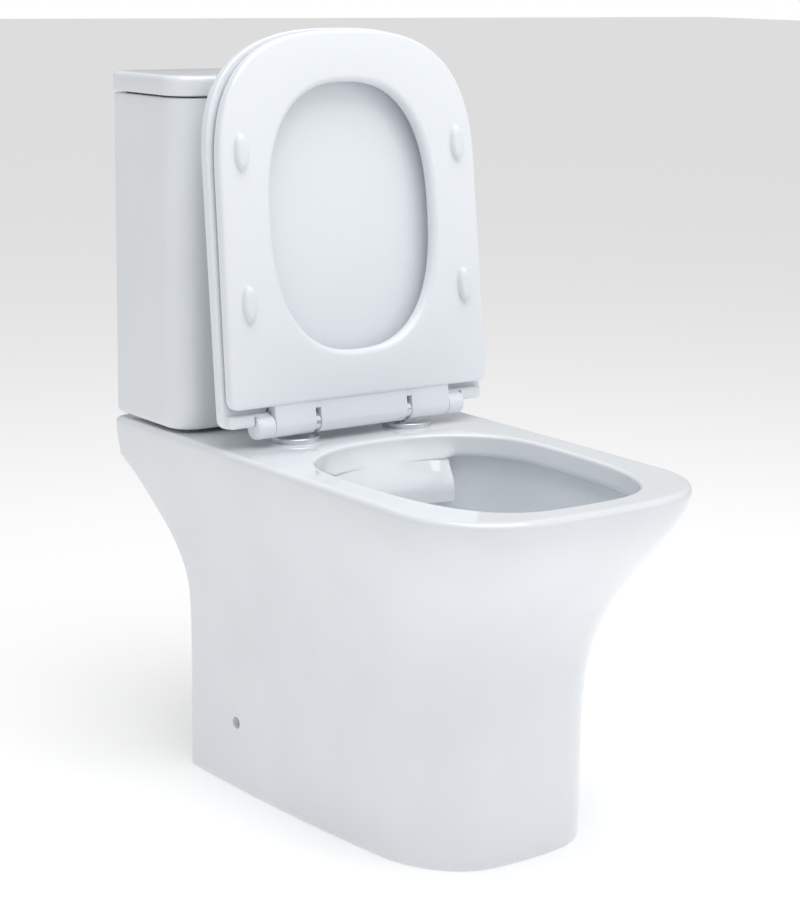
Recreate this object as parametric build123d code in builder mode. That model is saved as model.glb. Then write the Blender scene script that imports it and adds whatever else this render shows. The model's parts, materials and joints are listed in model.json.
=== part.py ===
"""Close coupled toilet: pan, cistern, seat and cover, with its hinges, dual flush valve and fill valve.

Row frame: +Z up, the front of the bowl faces -Y, origin on the floor under the middle of the whole object.
All sizes are in millimetres. Depths are given as a distance out from the wall and turned into Y by wall().
"""

from build123d import *
import math
import os

os.makedirs("parts", exist_ok=True)

# ---------------------------------------------------------------- driving dimensions
LENGTH = 660.0  # wall to the front of the pan
RIM_HEIGHT = 400.0  # floor to the top of the rim
PAN_WIDTH = 359.0
WALL_THICKNESS = 12.0  # fired china
DECK_UNDERSIDE = RIM_HEIGHT - WALL_THICKNESS

BASE_SIDE_INSET = 33.0  # how far each side of the foot stands inside the rim
BASE_FRONT_INSET = 104.0
RIM_TAPER, BASE_TAPER = 4.0, 33.0  # narrowing of each side from back to front
RIM_BOW, BASE_BOW = 20.0, 19.0  # rise of the front edge's curve
RIM_CORNER, BASE_CORNER = 88.0, 80.0
BACK_CORNER = 10.0
RIM_EDGE = 7.0
FLARE_START, FLARE_POWER = 60.0, 2.1  # the skin stands straight up to here, then flares
LEVELS = (0, 60, 120, 170, 215, 255, 290, 320, 345, 368, 386, 400)  # heights of the skin's sections

APRON_DEPTH = 50.0  # the back face of the deck
FOOT_BACK = 118.0  # wall to the back of the foot
FOOT_CUT, BOWL_CUT = 130.0, 30.0  # planes between the solids of the casting
FOOT_ROOM_HALF, FOOT_ROOM_FRONT = 92.0, -178.0  # room inside the foot, which holds the trapway
TRAP_ROOM_HALF, TRAP_ROOM_TOP, TRAP_ROOM_END = 60.0, 245.0, 60.0

BOWL_CENTRE = 394.0  # depth of the widest place of the opening
BOWL_HALF_WIDTH = 138.0
BOWL_REAR, BOWL_FRONT = 113.0, 232.0  # reach of the opening behind and before its widest place
REAR_POWER, FRONT_POWER = 2.3, 3.2  # squareness of its two ends
LEDGE_DEPTH = 25.0  # lip of the rim over the flush ledge
HOOD_HALF_WIDTH = 88.0  # water distributor at the back of the bowl
# height, half width, rear depth and front depth of the bowl under its lip
BOWL_LEVELS = (
    (376, 150, 269, 637),
    (345, 147, 269, 612),
    (300, 138, 272, 580),
    (240, 116, 277, 540),
    (180, 88, 284, 484),
    (120, 60, 292, 414),
    (70, 42, 297, 374),
    (36, 32, 302, 360),
)
BOWL_WALL = 10.0
TRAP_BORE, TRAP_WALL = 32.0, 9.0
OUTLET_HEIGHT = 180.0
SPIGOT_RADIUS, SPIGOT_BORE = 51.0, 42.0
SPIGOT_END = 72.0  # wall to the end of the spigot
SPIGOT_LENGTH = 60.0
DUCT_WIDTH, DUCT_WALL = 96.0, 8.0

SEAT_HOLE_SPACING = 155.0
SEAT_HOLE_DEPTH = 226.0
SIDE_HOLE_DEPTH, SIDE_HOLE_HEIGHT, SIDE_HOLE_RADIUS = 212.0, 78.0, 7.0

TANK_WIDTH, TANK_DEPTH = 356.0, 148.0
TANK_BOTTOM, TANK_TOP = RIM_HEIGHT + 4.0, 772.0
TANK_WALL = 9.0
TANK_CORNER = 34.0
TANK_BACK = 2.0  # wall to the back of the tank
LID_OVERHANG = 2.0
LID_BOTTOM, LID_TOP, LID_THICKNESS = 774.0, 796.0, 9.0
FLANGE_DEPTH = 12.0
TANK_BOW = 4.0
TANK_CENTRE = 76.0  # depth of the flush valve and the buttons
FILL_X = -125.0  # fill valve, left of the flush valve
COUPLING_X = 75.0  # bolts that hold the tank to the deck
WALL_SCREW_X, WALL_SCREW_Z, WALL_SCREW_RADIUS = 130.0, 700.0, 4.5
FLUSH_HOLE_RADIUS, GASKET_RADIUS = 47.0, 56.0

BEZEL_RADIUS, BEZEL_HEIGHT, SLEEVE_RADIUS, SLEEVE_BOTTOM = 29.0, 3.5, 21.0, 770.0
BUTTON_RADIUS, BUTTON_SPLIT = 18.5, -5.0  # the larger half is the full flush
BUTTON_BOTTOM, BUTTON_TOP = 784.0, 800.0
BUTTON_TRAVEL = 6.0
ROD_RADIUS, ROD_BOTTOM = 2.5, 712.0
ROD_PLACES = (-11.5, 9.0)

TAIL_RADIUS, TAIL_BORE, TAIL_BOTTOM = 32.0, 28.0, 386.0
SEAL_THICKNESS = 3.0
VALVE_FLANGE = 44.0
VALVE_SEAT = TANK_BOTTOM + TANK_WALL + SEAL_THICKNESS + 5.0
BACK_NUT_RADIUS = 40.0
CAGE_RADIUS = 38.0
BRIDGE_BOTTOM, BRIDGE_THICKNESS = 690.0, 10.0
OVERFLOW_RADIUS, OVERFLOW_TOP = 14.0, 680.0
RISER_DISC, SEAL_LIFT = 30.0, 3.0

SHANK_RADIUS, STEM_RADIUS = 11.0, 9.0
TAIL_THREAD_RADIUS = 10.4  # half inch pipe thread
INLET_BOTTOM, INLET_TOP = 350.0, 384.0
FILL_HEAD = 690.0
HEAD_HEIGHT, FORK_HEIGHT = 16.0, 19.0
LEVER_HEIGHT = FILL_HEAD + HEAD_HEIGHT + 14.0
LEVER_PIN, LEVER_LENGTH = 1.5, 52.0
FLOAT_RADIUS, FLOAT_HEIGHT, FLOAT_BOTTOM = 30.0, 85.0, 590.0
FLOAT_ROD = 24.0

HINGE_DEPTH = 240.0
HINGE_HEIGHT = RIM_HEIGHT + 22.5
LEAN = 6.5  # degrees that the raised seat leans back past upright
BAR_RADIUS = 13.5
FIT = 0.05  # radial clearance of pins in turning bores
GAP = 0.3  # clearance between faces that meet when parts move
PIN_RADIUS, PIN_START, PIN_END = 4.0, 46.0, 78.0
POST_X, POST_THICKNESS = 62.5, 6.4
POST_DEPTH, POST_WIDTH = 230.0, 16.0
EYE_RADIUS = 12.0
SLOT_RADIUS, SLOT_WIDTH = 14.3, 8.0
ROSETTE_RADIUS, ROSETTE_HEIGHT, FOOT_PLATE = 28.5, 6.0, 3.5
DAMPER_RADIUS, DAMPER_START, DAMPER_LENGTH = 9.0, 82.0, 34.0
CAP_THICKNESS = 2.5
BOLT_RADIUS, BOLT_REACH = 4.0, 55.0
BAR_END = 118.7
KNUCKLE_START, KNUCKLE_END = 119.3, 138.0
SEAT_UNDER, SEAT_OVER = 15.0, -2.0  # the ring's two faces, measured forwards from the hinge line
COVER_UNDER, COVER_OVER = -3.0, -20.0
SEAT_REAR_EDGE, COVER_REAR_EDGE, COVER_MIDDLE_EDGE = 22.0, 1.0, 17.0
# half width at the hinge, half width and squareness of the rounded end, its length, and the whole reach
SEAT_SHAPE = (175.0, 172.0, 2.85, 170.0, 425.0)
COVER_SHAPE = (177.5, 176.0, 2.7, 150.0, 428.5)
COVER_PLATE, COVER_BORDER = 6.0, 12.0
RECESS_SHAPE = (165.5, 164.0, 2.6, 138.0, COVER_SHAPE[-1] - COVER_BORDER)
ARM_TOP, ARM_FRONT, ARM_END = 16.0, 6.0, 172.0
SEAT_BUFFERS = ((146.0, 135.0), (145.0, 297.0))  # across and out from the hinge line
BUFFER_LENGTH, BUFFER_WIDTH = 40.0, 16.0
BUFFER_HEIGHT = HINGE_HEIGHT - SEAT_UNDER - RIM_HEIGHT - GAP
COVER_BUFFERS = ((142.0, 90.0), (138.0, 330.0))
OPENING_HALF_WIDTH, OPENING_NEAR, OPENING_FAR = 109.0, 74.0, 369.0


def wall(depth):
    """The Y of a place that stands this far out from the wall."""
    return LENGTH / 2 - depth


def flare(height):
    """Share of the foot's inset at this height: 1 at the floor, 0 at the rim, along half a cosine wave."""
    rise = max(0.0, (height - FLARE_START) / (RIM_HEIGHT - FLARE_START))
    return 0.5 * (1 + math.cos(math.pi * rise**FLARE_POWER))


def pan_level(height, inward=0.0, back=0.0):
    """One level of the pan's skin: straight back, gently curved sides, bowed front and round corners."""
    share = flare(height)
    half_back = PAN_WIDTH / 2 - BASE_SIDE_INSET * share - inward
    half_front = half_back - (RIM_TAPER + (BASE_TAPER - RIM_TAPER) * share)
    half_middle = half_back - 0.25 * (half_back - half_front)
    front = wall(LENGTH - BASE_FRONT_INSET * share - inward)
    bow = RIM_BOW + (BASE_BOW - RIM_BOW) * share
    corner = RIM_CORNER + (BASE_CORNER - RIM_CORNER) * share - inward
    rear = wall(back)
    middle = (front + bow + rear) / 2
    with BuildSketch(Plane.XY.offset(height)) as level:
        with BuildLine():
            Line((-half_back, rear), (half_back, rear))
            ThreePointArc((half_back, rear), (half_middle, middle), (half_front, front + bow))
            ThreePointArc((half_front, front + bow), (0, front), (-half_front, front + bow))
            ThreePointArc((-half_front, front + bow), (-half_middle, middle), (-half_back, rear))
        make_face()
        fillet(level.vertices().group_by(Axis.Y)[0], radius=corner)
        fillet(level.vertices().group_by(Axis.Y)[-1], radius=BACK_CORNER)
    return level.sketch


def egg(half_width, rear_reach, front_reach, centre, count=40):
    """Points of the bowl's outline: a superellipse with a rounder rear end and a squarer front end."""
    points = []
    for i in range(count):
        a = 2 * math.pi * i / count
        power, reach = (REAR_POWER, rear_reach) if math.sin(a) >= 0 else (FRONT_POWER, front_reach)
        across = math.copysign(abs(math.cos(a)) ** (2 / power), math.cos(a))
        along = math.copysign(abs(math.sin(a)) ** (2 / power), math.sin(a))
        points.append((half_width * across, wall(centre) + reach * along))
    return points


def bowl_level(height, half_width, rear, front, grow=0.0):
    """One level of the bowl as a closed smooth curve, grown outwards for the outside of its wall."""
    centre = rear + (front - rear) * BOWL_REAR / (BOWL_REAR + BOWL_FRONT)
    outline = egg(half_width + grow, centre - rear + grow, front - centre + grow, centre)
    with BuildSketch(Plane.XY.offset(height)) as level:
        with BuildLine():
            Spline(*outline, periodic=True)
        make_face()
    return level.sketch


def write(piece, label):
    piece.part.label = label
    export_step(piece.part, f"parts/{label}.step")


# ---------------------------------------------------------------- pan
OPENING = (RIM_HEIGHT, BOWL_HALF_WIDTH, BOWL_CENTRE - BOWL_REAR, BOWL_CENTRE + BOWL_FRONT)

with BuildPart() as hollow:
    # the space inside the skin, open to the floor and to the back
    for height in (*LEVELS[:-1], DECK_UNDERSIDE):
        add(pan_level(height, inward=WALL_THICKNESS, back=-20.0))
    loft()
    with BuildSketch(Plane.XY.offset(RIM_HEIGHT - APRON_DEPTH)):
        with Locations((0, wall(0))):
            Rectangle(PAN_WIDTH, 2 * WALL_THICKNESS + 40)
    extrude(amount=APRON_DEPTH, mode=Mode.SUBTRACT)

with BuildPart() as bowl_outside:
    # the outside of the bowl's wall, which hangs under the deck
    for row in BOWL_LEVELS:
        add(bowl_level(*row, grow=BOWL_WALL))
    add(bowl_level(BOWL_LEVELS[-1][0] - BOWL_WALL, *BOWL_LEVELS[-1][1:]))
    loft()

TRAP_ROUTE = [(332, 66), (282, 66), (214, 190), (160, OUTLET_HEIGHT), (SPIGOT_END + 30, OUTLET_HEIGHT)]
TRAP_BEND = 54.0
with BuildLine(Plane.YZ) as trap_path:
    FilletPolyline(*[(wall(depth), height) for depth, height in TRAP_ROUTE], radius=TRAP_BEND)


def trap_section(radius):
    with BuildSketch(Plane.XZ.offset(-wall(TRAP_ROUTE[0][0]))) as section:
        with Locations((0, TRAP_ROUTE[0][1])):
            Circle(radius)
    return section.sketch


with BuildPart() as trap_outside:
    sweep(trap_section(TRAP_BORE + TRAP_WALL), path=trap_path.line)

with BuildPart() as trap_inside:
    sweep(trap_section(TRAP_BORE), path=trap_path.line)

with BuildPart() as bowl_inside:
    for row in BOWL_LEVELS:
        add(bowl_level(*row))
    loft()
    # the hood stands in the ledge at the back and leaves the bowl's wall flush with the lip there
    with BuildSketch(Plane.XY.offset(300)):
        with Locations((0, wall(OPENING[2] - 20))):
            Rectangle(2 * HOOD_HALF_WIDTH, 40 + 2 * 6)
    extrude(amount=80, mode=Mode.SUBTRACT)

with BuildPart() as casting:
    for height in LEVELS:
        add(pan_level(height))
    loft()
    # relief behind the foot, under the deck
    with BuildSketch(Plane.YZ.offset(-PAN_WIDTH)):
        with BuildLine():
            Spline(
                (wall(0), RIM_HEIGHT - APRON_DEPTH),
                (wall(50), 319),
                (wall(97), 282),
                (wall(FOOT_BACK), 210),
                tangents=[(-1, -0.55), (0, -1)],
            )
            Line((wall(FOOT_BACK), 210), (wall(FOOT_BACK), -5))
            Polyline(
                (wall(FOOT_BACK), -5),
                (wall(-30), -5),
                (wall(-30), RIM_HEIGHT - APRON_DEPTH),
                (wall(0), RIM_HEIGHT - APRON_DEPTH),
            )
        make_face()
    extrude(amount=2 * PAN_WIDTH, mode=Mode.SUBTRACT)
    fillet(casting.faces().sort_by(Axis.Z)[-1].edges(), radius=RIM_EDGE)
    add(hollow.part, mode=Mode.SUBTRACT)
    add(bowl_outside.part)
    add(trap_outside.part)
    # spigot of the waste outlet
    with BuildSketch(Plane.XZ.offset(-wall(SPIGOT_END))):
        with Locations((0, OUTLET_HEIGHT)):
            Circle(SPIGOT_RADIUS)
    extrude(amount=SPIGOT_LENGTH)
    # flush duct under the deck, from the cistern to the hood
    with BuildSketch(Plane.XY.offset(338)):
        with Locations((0, wall(145))):
            Rectangle(DUCT_WIDTH + 2 * DUCT_WALL, 250)
    extrude(amount=DECK_UNDERSIDE - 338)
    with BuildSketch(Plane.XY.offset(348)):
        with Locations((0, wall(146))):
            Rectangle(DUCT_WIDTH, 232)
    extrude(amount=DECK_UNDERSIDE - 348, mode=Mode.SUBTRACT)
    with BuildSketch(Plane.XY.offset(350)):
        with Locations((0, wall(268.5))):
            Rectangle(2 * HOOD_HALF_WIDTH + 12, 9)
    extrude(amount=20, mode=Mode.SUBTRACT)
    # bowl, lip and trap
    add(bowl_inside.part, mode=Mode.SUBTRACT)
    add(bowl_level(RIM_HEIGHT - LEDGE_DEPTH - 2, *OPENING[1:]))
    extrude(amount=LEDGE_DEPTH + 10, mode=Mode.SUBTRACT)
    add(trap_inside.part, mode=Mode.SUBTRACT)
    with BuildSketch(Plane.XZ.offset(-wall(SPIGOT_END))):
        with Locations((0, OUTLET_HEIGHT)):
            Circle(SPIGOT_BORE)
    extrude(amount=SPIGOT_LENGTH - 8, mode=Mode.SUBTRACT)
    # holes of the deck: flush inlet, cistern bolts, water inlet and seat hinges
    with Locations((0, wall(TANK_CENTRE), RIM_HEIGHT)):
        Hole(radius=FLUSH_HOLE_RADIUS, depth=WALL_THICKNESS)
    with Locations(*[(s * COUPLING_X, wall(TANK_CENTRE), RIM_HEIGHT) for s in (-1, 1)]):
        Hole(radius=6, depth=WALL_THICKNESS)
    with Locations((FILL_X, wall(TANK_CENTRE), RIM_HEIGHT)):
        Hole(radius=21, depth=WALL_THICKNESS)
    with Locations(*[(s * SEAT_HOLE_SPACING / 2, wall(SEAT_HOLE_DEPTH), RIM_HEIGHT) for s in (-1, 1)]):
        Hole(radius=7, depth=WALL_THICKNESS)
    # floor fixing holes through both sides of the foot
    with BuildSketch(Plane.YZ.offset(-PAN_WIDTH / 2)):
        with Locations((wall(SIDE_HOLE_DEPTH), SIDE_HOLE_HEIGHT)):
            Circle(SIDE_HOLE_RADIUS)
    extrude(amount=PAN_WIDTH, mode=Mode.SUBTRACT)

# The casting is one piece of china. It is kept as four solids that meet face to face, so that each has a
# plain shape of its own: the bowl, the deck behind it, the foot, and the trapway inside them.
with BuildPart() as trap_room:
    with BuildSketch(Plane.XY.offset(-1)):
        with Locations((0, (FOOT_ROOM_FRONT + wall(TRAP_ROOM_END)) / 2)):
            Rectangle(2 * FOOT_ROOM_HALF, wall(TRAP_ROOM_END) - FOOT_ROOM_FRONT)
    extrude(amount=FOOT_CUT + 1)
    with BuildSketch(Plane.XY.offset(FOOT_CUT)):
        with Locations((0, (BOWL_CUT + wall(TRAP_ROOM_END)) / 2)):
            Rectangle(2 * TRAP_ROOM_HALF, wall(TRAP_ROOM_END) - BOWL_CUT)
    extrude(amount=TRAP_ROOM_TOP - FOOT_CUT)

with BuildPart() as pan_trapway:
    add(casting.part)
    add(trap_room.part, mode=Mode.INTERSECT)
write(pan_trapway, "pan_trapway")

with BuildPart() as pan_foot:
    add(casting.part)
    add(trap_room.part, mode=Mode.SUBTRACT)
    split(bisect_by=Plane.XY.offset(FOOT_CUT), keep=Keep.BOTTOM)
write(pan_foot, "pan_foot")

with BuildPart() as pan_bowl:
    add(casting.part)
    split(bisect_by=Plane.XY.offset(FOOT_CUT), keep=Keep.TOP)
    split(bisect_by=Plane.XZ.offset(-BOWL_CUT), keep=Keep.TOP)
write(pan_bowl, "pan_bowl")

with BuildPart() as pan_deck:
    add(casting.part)
    add(trap_room.part, mode=Mode.SUBTRACT)
    split(bisect_by=Plane.XY.offset(FOOT_CUT), keep=Keep.TOP)
    split(bisect_by=Plane.XZ.offset(-BOWL_CUT), keep=Keep.BOTTOM)
write(pan_deck, "pan_deck")

# ---------------------------------------------------------------- seat, cover and hinges
SEAT_PLANE = Plane(
    origin=(0, wall(HINGE_DEPTH), HINGE_HEIGHT),
    x_dir=(1, 0, 0),
    z_dir=(0, -math.cos(math.radians(LEAN)), math.sin(math.radians(LEAN))),
)


def rounded_end(half_rear, half_front, power, end_length, reach, rear_edge):
    """Flat outline with straight sides and a superellipse end; the hinge line is its x axis."""
    start = reach - end_length
    end = []
    for i in range(19):
        a = math.pi * i / 18
        across = math.copysign(abs(math.cos(a)) ** (2 / power), math.cos(a))
        end.append((half_front * across, start + end_length * math.sin(a) ** (2 / power)))
    with BuildSketch() as outline:
        with BuildLine():
            Line((-half_rear, rear_edge), (half_rear, rear_edge))
            Line((half_rear, rear_edge), end[0])
            Spline(*end, tangents=[(0, 1), (0, -1)])
            Line(end[-1], (-half_rear, rear_edge))
        make_face()
        fillet(outline.vertices().group_by(Axis.Y)[0], radius=11)
    return outline.sketch


def superellipse(half_width, near, far, power=2.5, count=32):
    """Points of a rounded oval between two distances from the hinge line."""
    points = []
    for i in range(count):
        a = 2 * math.pi * i / count
        across = math.copysign(abs(math.cos(a)) ** (2 / power), math.cos(a))
        along = math.copysign(abs(math.sin(a)) ** (2 / power), math.sin(a))
        points.append((half_width * across, (near + far) / 2 + (far - near) / 2 * along))
    return points


SEAT_AXIS = Axis(SEAT_PLANE.origin, SEAT_PLANE.z_dir)


def hinge_disc(radius, start, length, side):
    """A cylinder round the hinge line, from one distance off the middle to another, on one side."""
    with BuildSketch(Plane(origin=(side * start, wall(HINGE_DEPTH), HINGE_HEIGHT), z_dir=(side, 0, 0))) as disc:
        Circle(radius)
    return extrude(disc.sketch, amount=length)


with BuildPart() as seat:
    with BuildSketch(SEAT_PLANE.offset(SEAT_OVER)):
        add(rounded_end(*SEAT_SHAPE, SEAT_REAR_EDGE))
        with BuildLine():
            Spline(*superellipse(OPENING_HALF_WIDTH, OPENING_NEAR, OPENING_FAR), periodic=True)
        make_face(mode=Mode.SUBTRACT)
    extrude(amount=SEAT_UNDER - SEAT_OVER)
    fillet(seat.faces().sort_by(SEAT_AXIS)[0].edges(), radius=5)
    fillet(seat.faces().sort_by(SEAT_AXIS)[-1].edges(), radius=3)
    # hinge bar, joined to the ring by a web
    with BuildSketch(SEAT_PLANE.offset(SEAT_OVER + 0.5)):
        with Locations((0, (SEAT_REAR_EDGE + 10) / 2)):
            Rectangle(2 * BAR_END, SEAT_REAR_EDGE + 10)
    extrude(amount=BAR_RADIUS - SEAT_OVER - 0.5)
    for side in (-1, 1):
        add(hinge_disc(BAR_RADIUS, 0, BAR_END, side))
    for side in (-1, 1):
        # slot for the post, bore for its pin and pocket for the damper
        add(hinge_disc(SLOT_RADIUS, POST_X - SLOT_WIDTH / 2, SLOT_WIDTH, side), mode=Mode.SUBTRACT)
        add(hinge_disc(PIN_RADIUS + FIT, PIN_START, BAR_END - PIN_START, side), mode=Mode.SUBTRACT)
        add(hinge_disc(DAMPER_RADIUS, DAMPER_START, DAMPER_LENGTH, side), mode=Mode.SUBTRACT)
write(seat, "seat")

with BuildPart() as cover:
    with BuildSketch(SEAT_PLANE.offset(COVER_OVER)):
        add(rounded_end(*COVER_SHAPE, COVER_REAR_EDGE))
    extrude(amount=COVER_UNDER - COVER_OVER)
    fillet(cover.faces().sort_by(SEAT_AXIS)[0].edges(), radius=6)
    # the inside is recessed within a raised border
    with BuildSketch(SEAT_PLANE.offset(COVER_OVER + COVER_PLATE)):
        add(rounded_end(*RECESS_SHAPE, COVER_MIDDLE_EDGE + COVER_BORDER))
    extrude(amount=COVER_UNDER - COVER_OVER, mode=Mode.SUBTRACT)
    # room for the seat's bar
    with BuildSketch(SEAT_PLANE.offset(COVER_OVER - 1)):
        with Locations((0, 0)):
            Rectangle(2 * KNUCKLE_START, 2 * COVER_MIDDLE_EDGE)
    extrude(amount=60, mode=Mode.SUBTRACT)
    for side in (-1, 1):
        # arm and knuckle
        with BuildSketch(SEAT_PLANE.offset(COVER_OVER + 4)):
            with Locations((side * (KNUCKLE_START + ARM_END) / 2, (COVER_REAR_EDGE + ARM_TOP) / 2)):
                RectangleRounded(ARM_END - KNUCKLE_START, ARM_TOP - COVER_REAR_EDGE, 6)
        extrude(amount=ARM_FRONT - COVER_OVER - 4)
        add(hinge_disc(BAR_RADIUS, KNUCKLE_END, CAP_THICKNESS + 1, side), mode=Mode.SUBTRACT)
        add(hinge_disc(BAR_RADIUS, KNUCKLE_START, KNUCKLE_END - KNUCKLE_START, side))
    for side in (-1, 1):
        add(hinge_disc(PIN_RADIUS, KNUCKLE_START, KNUCKLE_END - KNUCKLE_START, side), mode=Mode.SUBTRACT)
write(cover, "cover")

with BuildPart() as seat_buffers:
    with BuildSketch(SEAT_PLANE.offset(SEAT_UNDER)):
        for across, along in SEAT_BUFFERS:
            with Locations((across, along), (-across, along)):
                SlotOverall(BUFFER_LENGTH, BUFFER_WIDTH, rotation=90)
    extrude(amount=BUFFER_HEIGHT)
    fillet(seat_buffers.faces().group_by(SEAT_AXIS)[-1].edges(), radius=2)
write(seat_buffers, "seat_buffers")

with BuildPart() as cover_buffers:
    with BuildSketch(SEAT_PLANE.offset(COVER_OVER + COVER_PLATE)):
        for across, along in COVER_BUFFERS:
            with Locations((across, along), (-across, along)):
                Circle(6)
    extrude(amount=SEAT_OVER - GAP - COVER_OVER - COVER_PLATE)
write(cover_buffers, "cover_buffers")

for side, name in ((-1, "left"), (1, "right")):
    with BuildPart() as hinge_rosette:
        with BuildSketch(Plane.XY.offset(RIM_HEIGHT)):
            with Locations((side * SEAT_HOLE_SPACING / 2, wall(SEAT_HOLE_DEPTH))):
                Circle(ROSETTE_RADIUS)
        extrude(amount=ROSETTE_HEIGHT)
        fillet(hinge_rosette.faces().sort_by(Axis.Z)[-1].edges(), radius=2)
        with BuildSketch(Plane.XY.offset(RIM_HEIGHT)):
            with Locations((side * SEAT_HOLE_SPACING / 2, wall(SEAT_HOLE_DEPTH))):
                Circle(ROSETTE_RADIUS - 3)
        extrude(amount=ROSETTE_HEIGHT - 2, mode=Mode.SUBTRACT)
        with BuildSketch(Plane.XY.offset(RIM_HEIGHT)):
            with Locations((side * POST_X, wall(POST_DEPTH))):
                Rectangle(POST_THICKNESS + 0.6, POST_WIDTH + 0.6)
        extrude(amount=ROSETTE_HEIGHT, mode=Mode.SUBTRACT)
    write(hinge_rosette, f"hinge_rosette_{name}")

    with BuildPart() as hinge_post:
        # foot plate hidden by the rosette, with the bore for the fixing bolt
        with BuildSketch(Plane.XY.offset(RIM_HEIGHT)):
            with Locations((side * SEAT_HOLE_SPACING / 2, wall(SEAT_HOLE_DEPTH))):
                Circle(ROSETTE_RADIUS - 4)
        extrude(amount=FOOT_PLATE)
        with Locations((side * SEAT_HOLE_SPACING / 2, wall(SEAT_HOLE_DEPTH), RIM_HEIGHT + FOOT_PLATE)):
            Hole(radius=BOLT_RADIUS, depth=FOOT_PLATE)
        # upright blade that ends in an eye on the hinge line
        with BuildSketch(Plane.YZ.offset(side * POST_X - POST_THICKNESS / 2)):
            with BuildLine():
                Polyline(
                    (wall(POST_DEPTH + POST_WIDTH / 2), RIM_HEIGHT),
                    (wall(POST_DEPTH - POST_WIDTH / 2), RIM_HEIGHT),
                    (wall(POST_DEPTH - POST_WIDTH / 2), RIM_HEIGHT + ROSETTE_HEIGHT),
                    (wall(HINGE_DEPTH - EYE_RADIUS * 0.6), HINGE_HEIGHT),
                    (wall(HINGE_DEPTH + EYE_RADIUS * 0.6), HINGE_HEIGHT),
                    (wall(POST_DEPTH + POST_WIDTH / 2), RIM_HEIGHT + ROSETTE_HEIGHT),
                    close=True,
                )
            make_face()
            with Locations((wall(HINGE_DEPTH), HINGE_HEIGHT)):
                Circle(EYE_RADIUS)
                Circle(PIN_RADIUS, mode=Mode.SUBTRACT)
        extrude(amount=POST_THICKNESS)
    write(hinge_post, f"hinge_post_{name}")

    with BuildPart() as hinge_pin:
        add(hinge_disc(PIN_RADIUS, PIN_START + 1, PIN_END - PIN_START - 1, side))
    write(hinge_pin, f"hinge_pin_{name}")

    with BuildPart() as damper:
        add(hinge_disc(DAMPER_RADIUS, DAMPER_START, DAMPER_LENGTH, side))
        bore_start = DAMPER_START + 12
        add(hinge_disc(PIN_RADIUS + FIT, bore_start, DAMPER_LENGTH - 12, side), mode=Mode.SUBTRACT)
    write(damper, f"damper_{name}")

    with BuildPart() as damper_spindle:
        add(hinge_disc(PIN_RADIUS, DAMPER_START + 13, KNUCKLE_END - DAMPER_START - 13, side))
    write(damper_spindle, f"damper_spindle_{name}")

    with BuildPart() as hinge_cap:
        add(hinge_disc(BAR_RADIUS - 0.6, KNUCKLE_END, CAP_THICKNESS, side))
        fillet(hinge_cap.faces().sort_by(Axis.X)[0 if side < 0 else -1].edges(), radius=1.2)
    write(hinge_cap, f"hinge_cap_{name}")

HINGE_BOLTS = [(side * SEAT_HOLE_SPACING / 2, wall(SEAT_HOLE_DEPTH)) for side in (-1, 1)]

with BuildPart() as hinge_bolts:
    with BuildSketch(Plane.XY.offset(RIM_HEIGHT - BOLT_REACH)):
        with Locations(*HINGE_BOLTS):
            Circle(BOLT_RADIUS)
    extrude(amount=BOLT_REACH + FOOT_PLATE)
write(hinge_bolts, "hinge_bolts")

with BuildPart() as hinge_washers:
    with BuildSketch(Plane.XY.offset(DECK_UNDERSIDE - 5)):
        with Locations(*HINGE_BOLTS):
            Circle(13)
            Circle(BOLT_RADIUS, mode=Mode.SUBTRACT)
    extrude(amount=5)
write(hinge_washers, "hinge_washers")


def wing_nuts(places, top):
    """Plastic wing nuts: a round boss with two flat wings each."""
    with BuildPart() as nuts:
        with BuildSketch(Plane.XY.offset(top - 14)):
            with Locations(*places):
                Circle(9)
                Rectangle(5, 34)
                Circle(BOLT_RADIUS, mode=Mode.SUBTRACT)
        extrude(amount=14)
    return nuts


write(wing_nuts(HINGE_BOLTS, DECK_UNDERSIDE - 5), "hinge_nuts")

# ---------------------------------------------------------------- cistern
def tank_outline(height, grow=0.0):
    """Plan of the cistern: flat back, straight sides, slightly bowed front and round corners."""
    half = TANK_WIDTH / 2 + grow
    rear, front = wall(TANK_BACK - min(grow, 0)), wall(TANK_BACK + TANK_DEPTH + grow)
    with BuildSketch(Plane.XY.offset(height)) as plan:
        with BuildLine():
            Polyline((-half, front + TANK_BOW), (-half, rear), (half, rear), (half, front + TANK_BOW))
            ThreePointArc((half, front + TANK_BOW), (0, front), (-half, front + TANK_BOW))
        make_face()
        fillet(plan.vertices().group_by(Axis.Y)[0], radius=TANK_CORNER + grow)
        fillet(plan.vertices().group_by(Axis.Y)[-1], radius=max(3, 10 + grow))
    return plan.sketch


TANK_FLOOR = TANK_BOTTOM + TANK_WALL
COUPLING_BOLTS = [(side * COUPLING_X, wall(TANK_CENTRE)) for side in (-1, 1)]
CENTRE = (0, wall(TANK_CENTRE))
FILL = (FILL_X, wall(TANK_CENTRE))

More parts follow.
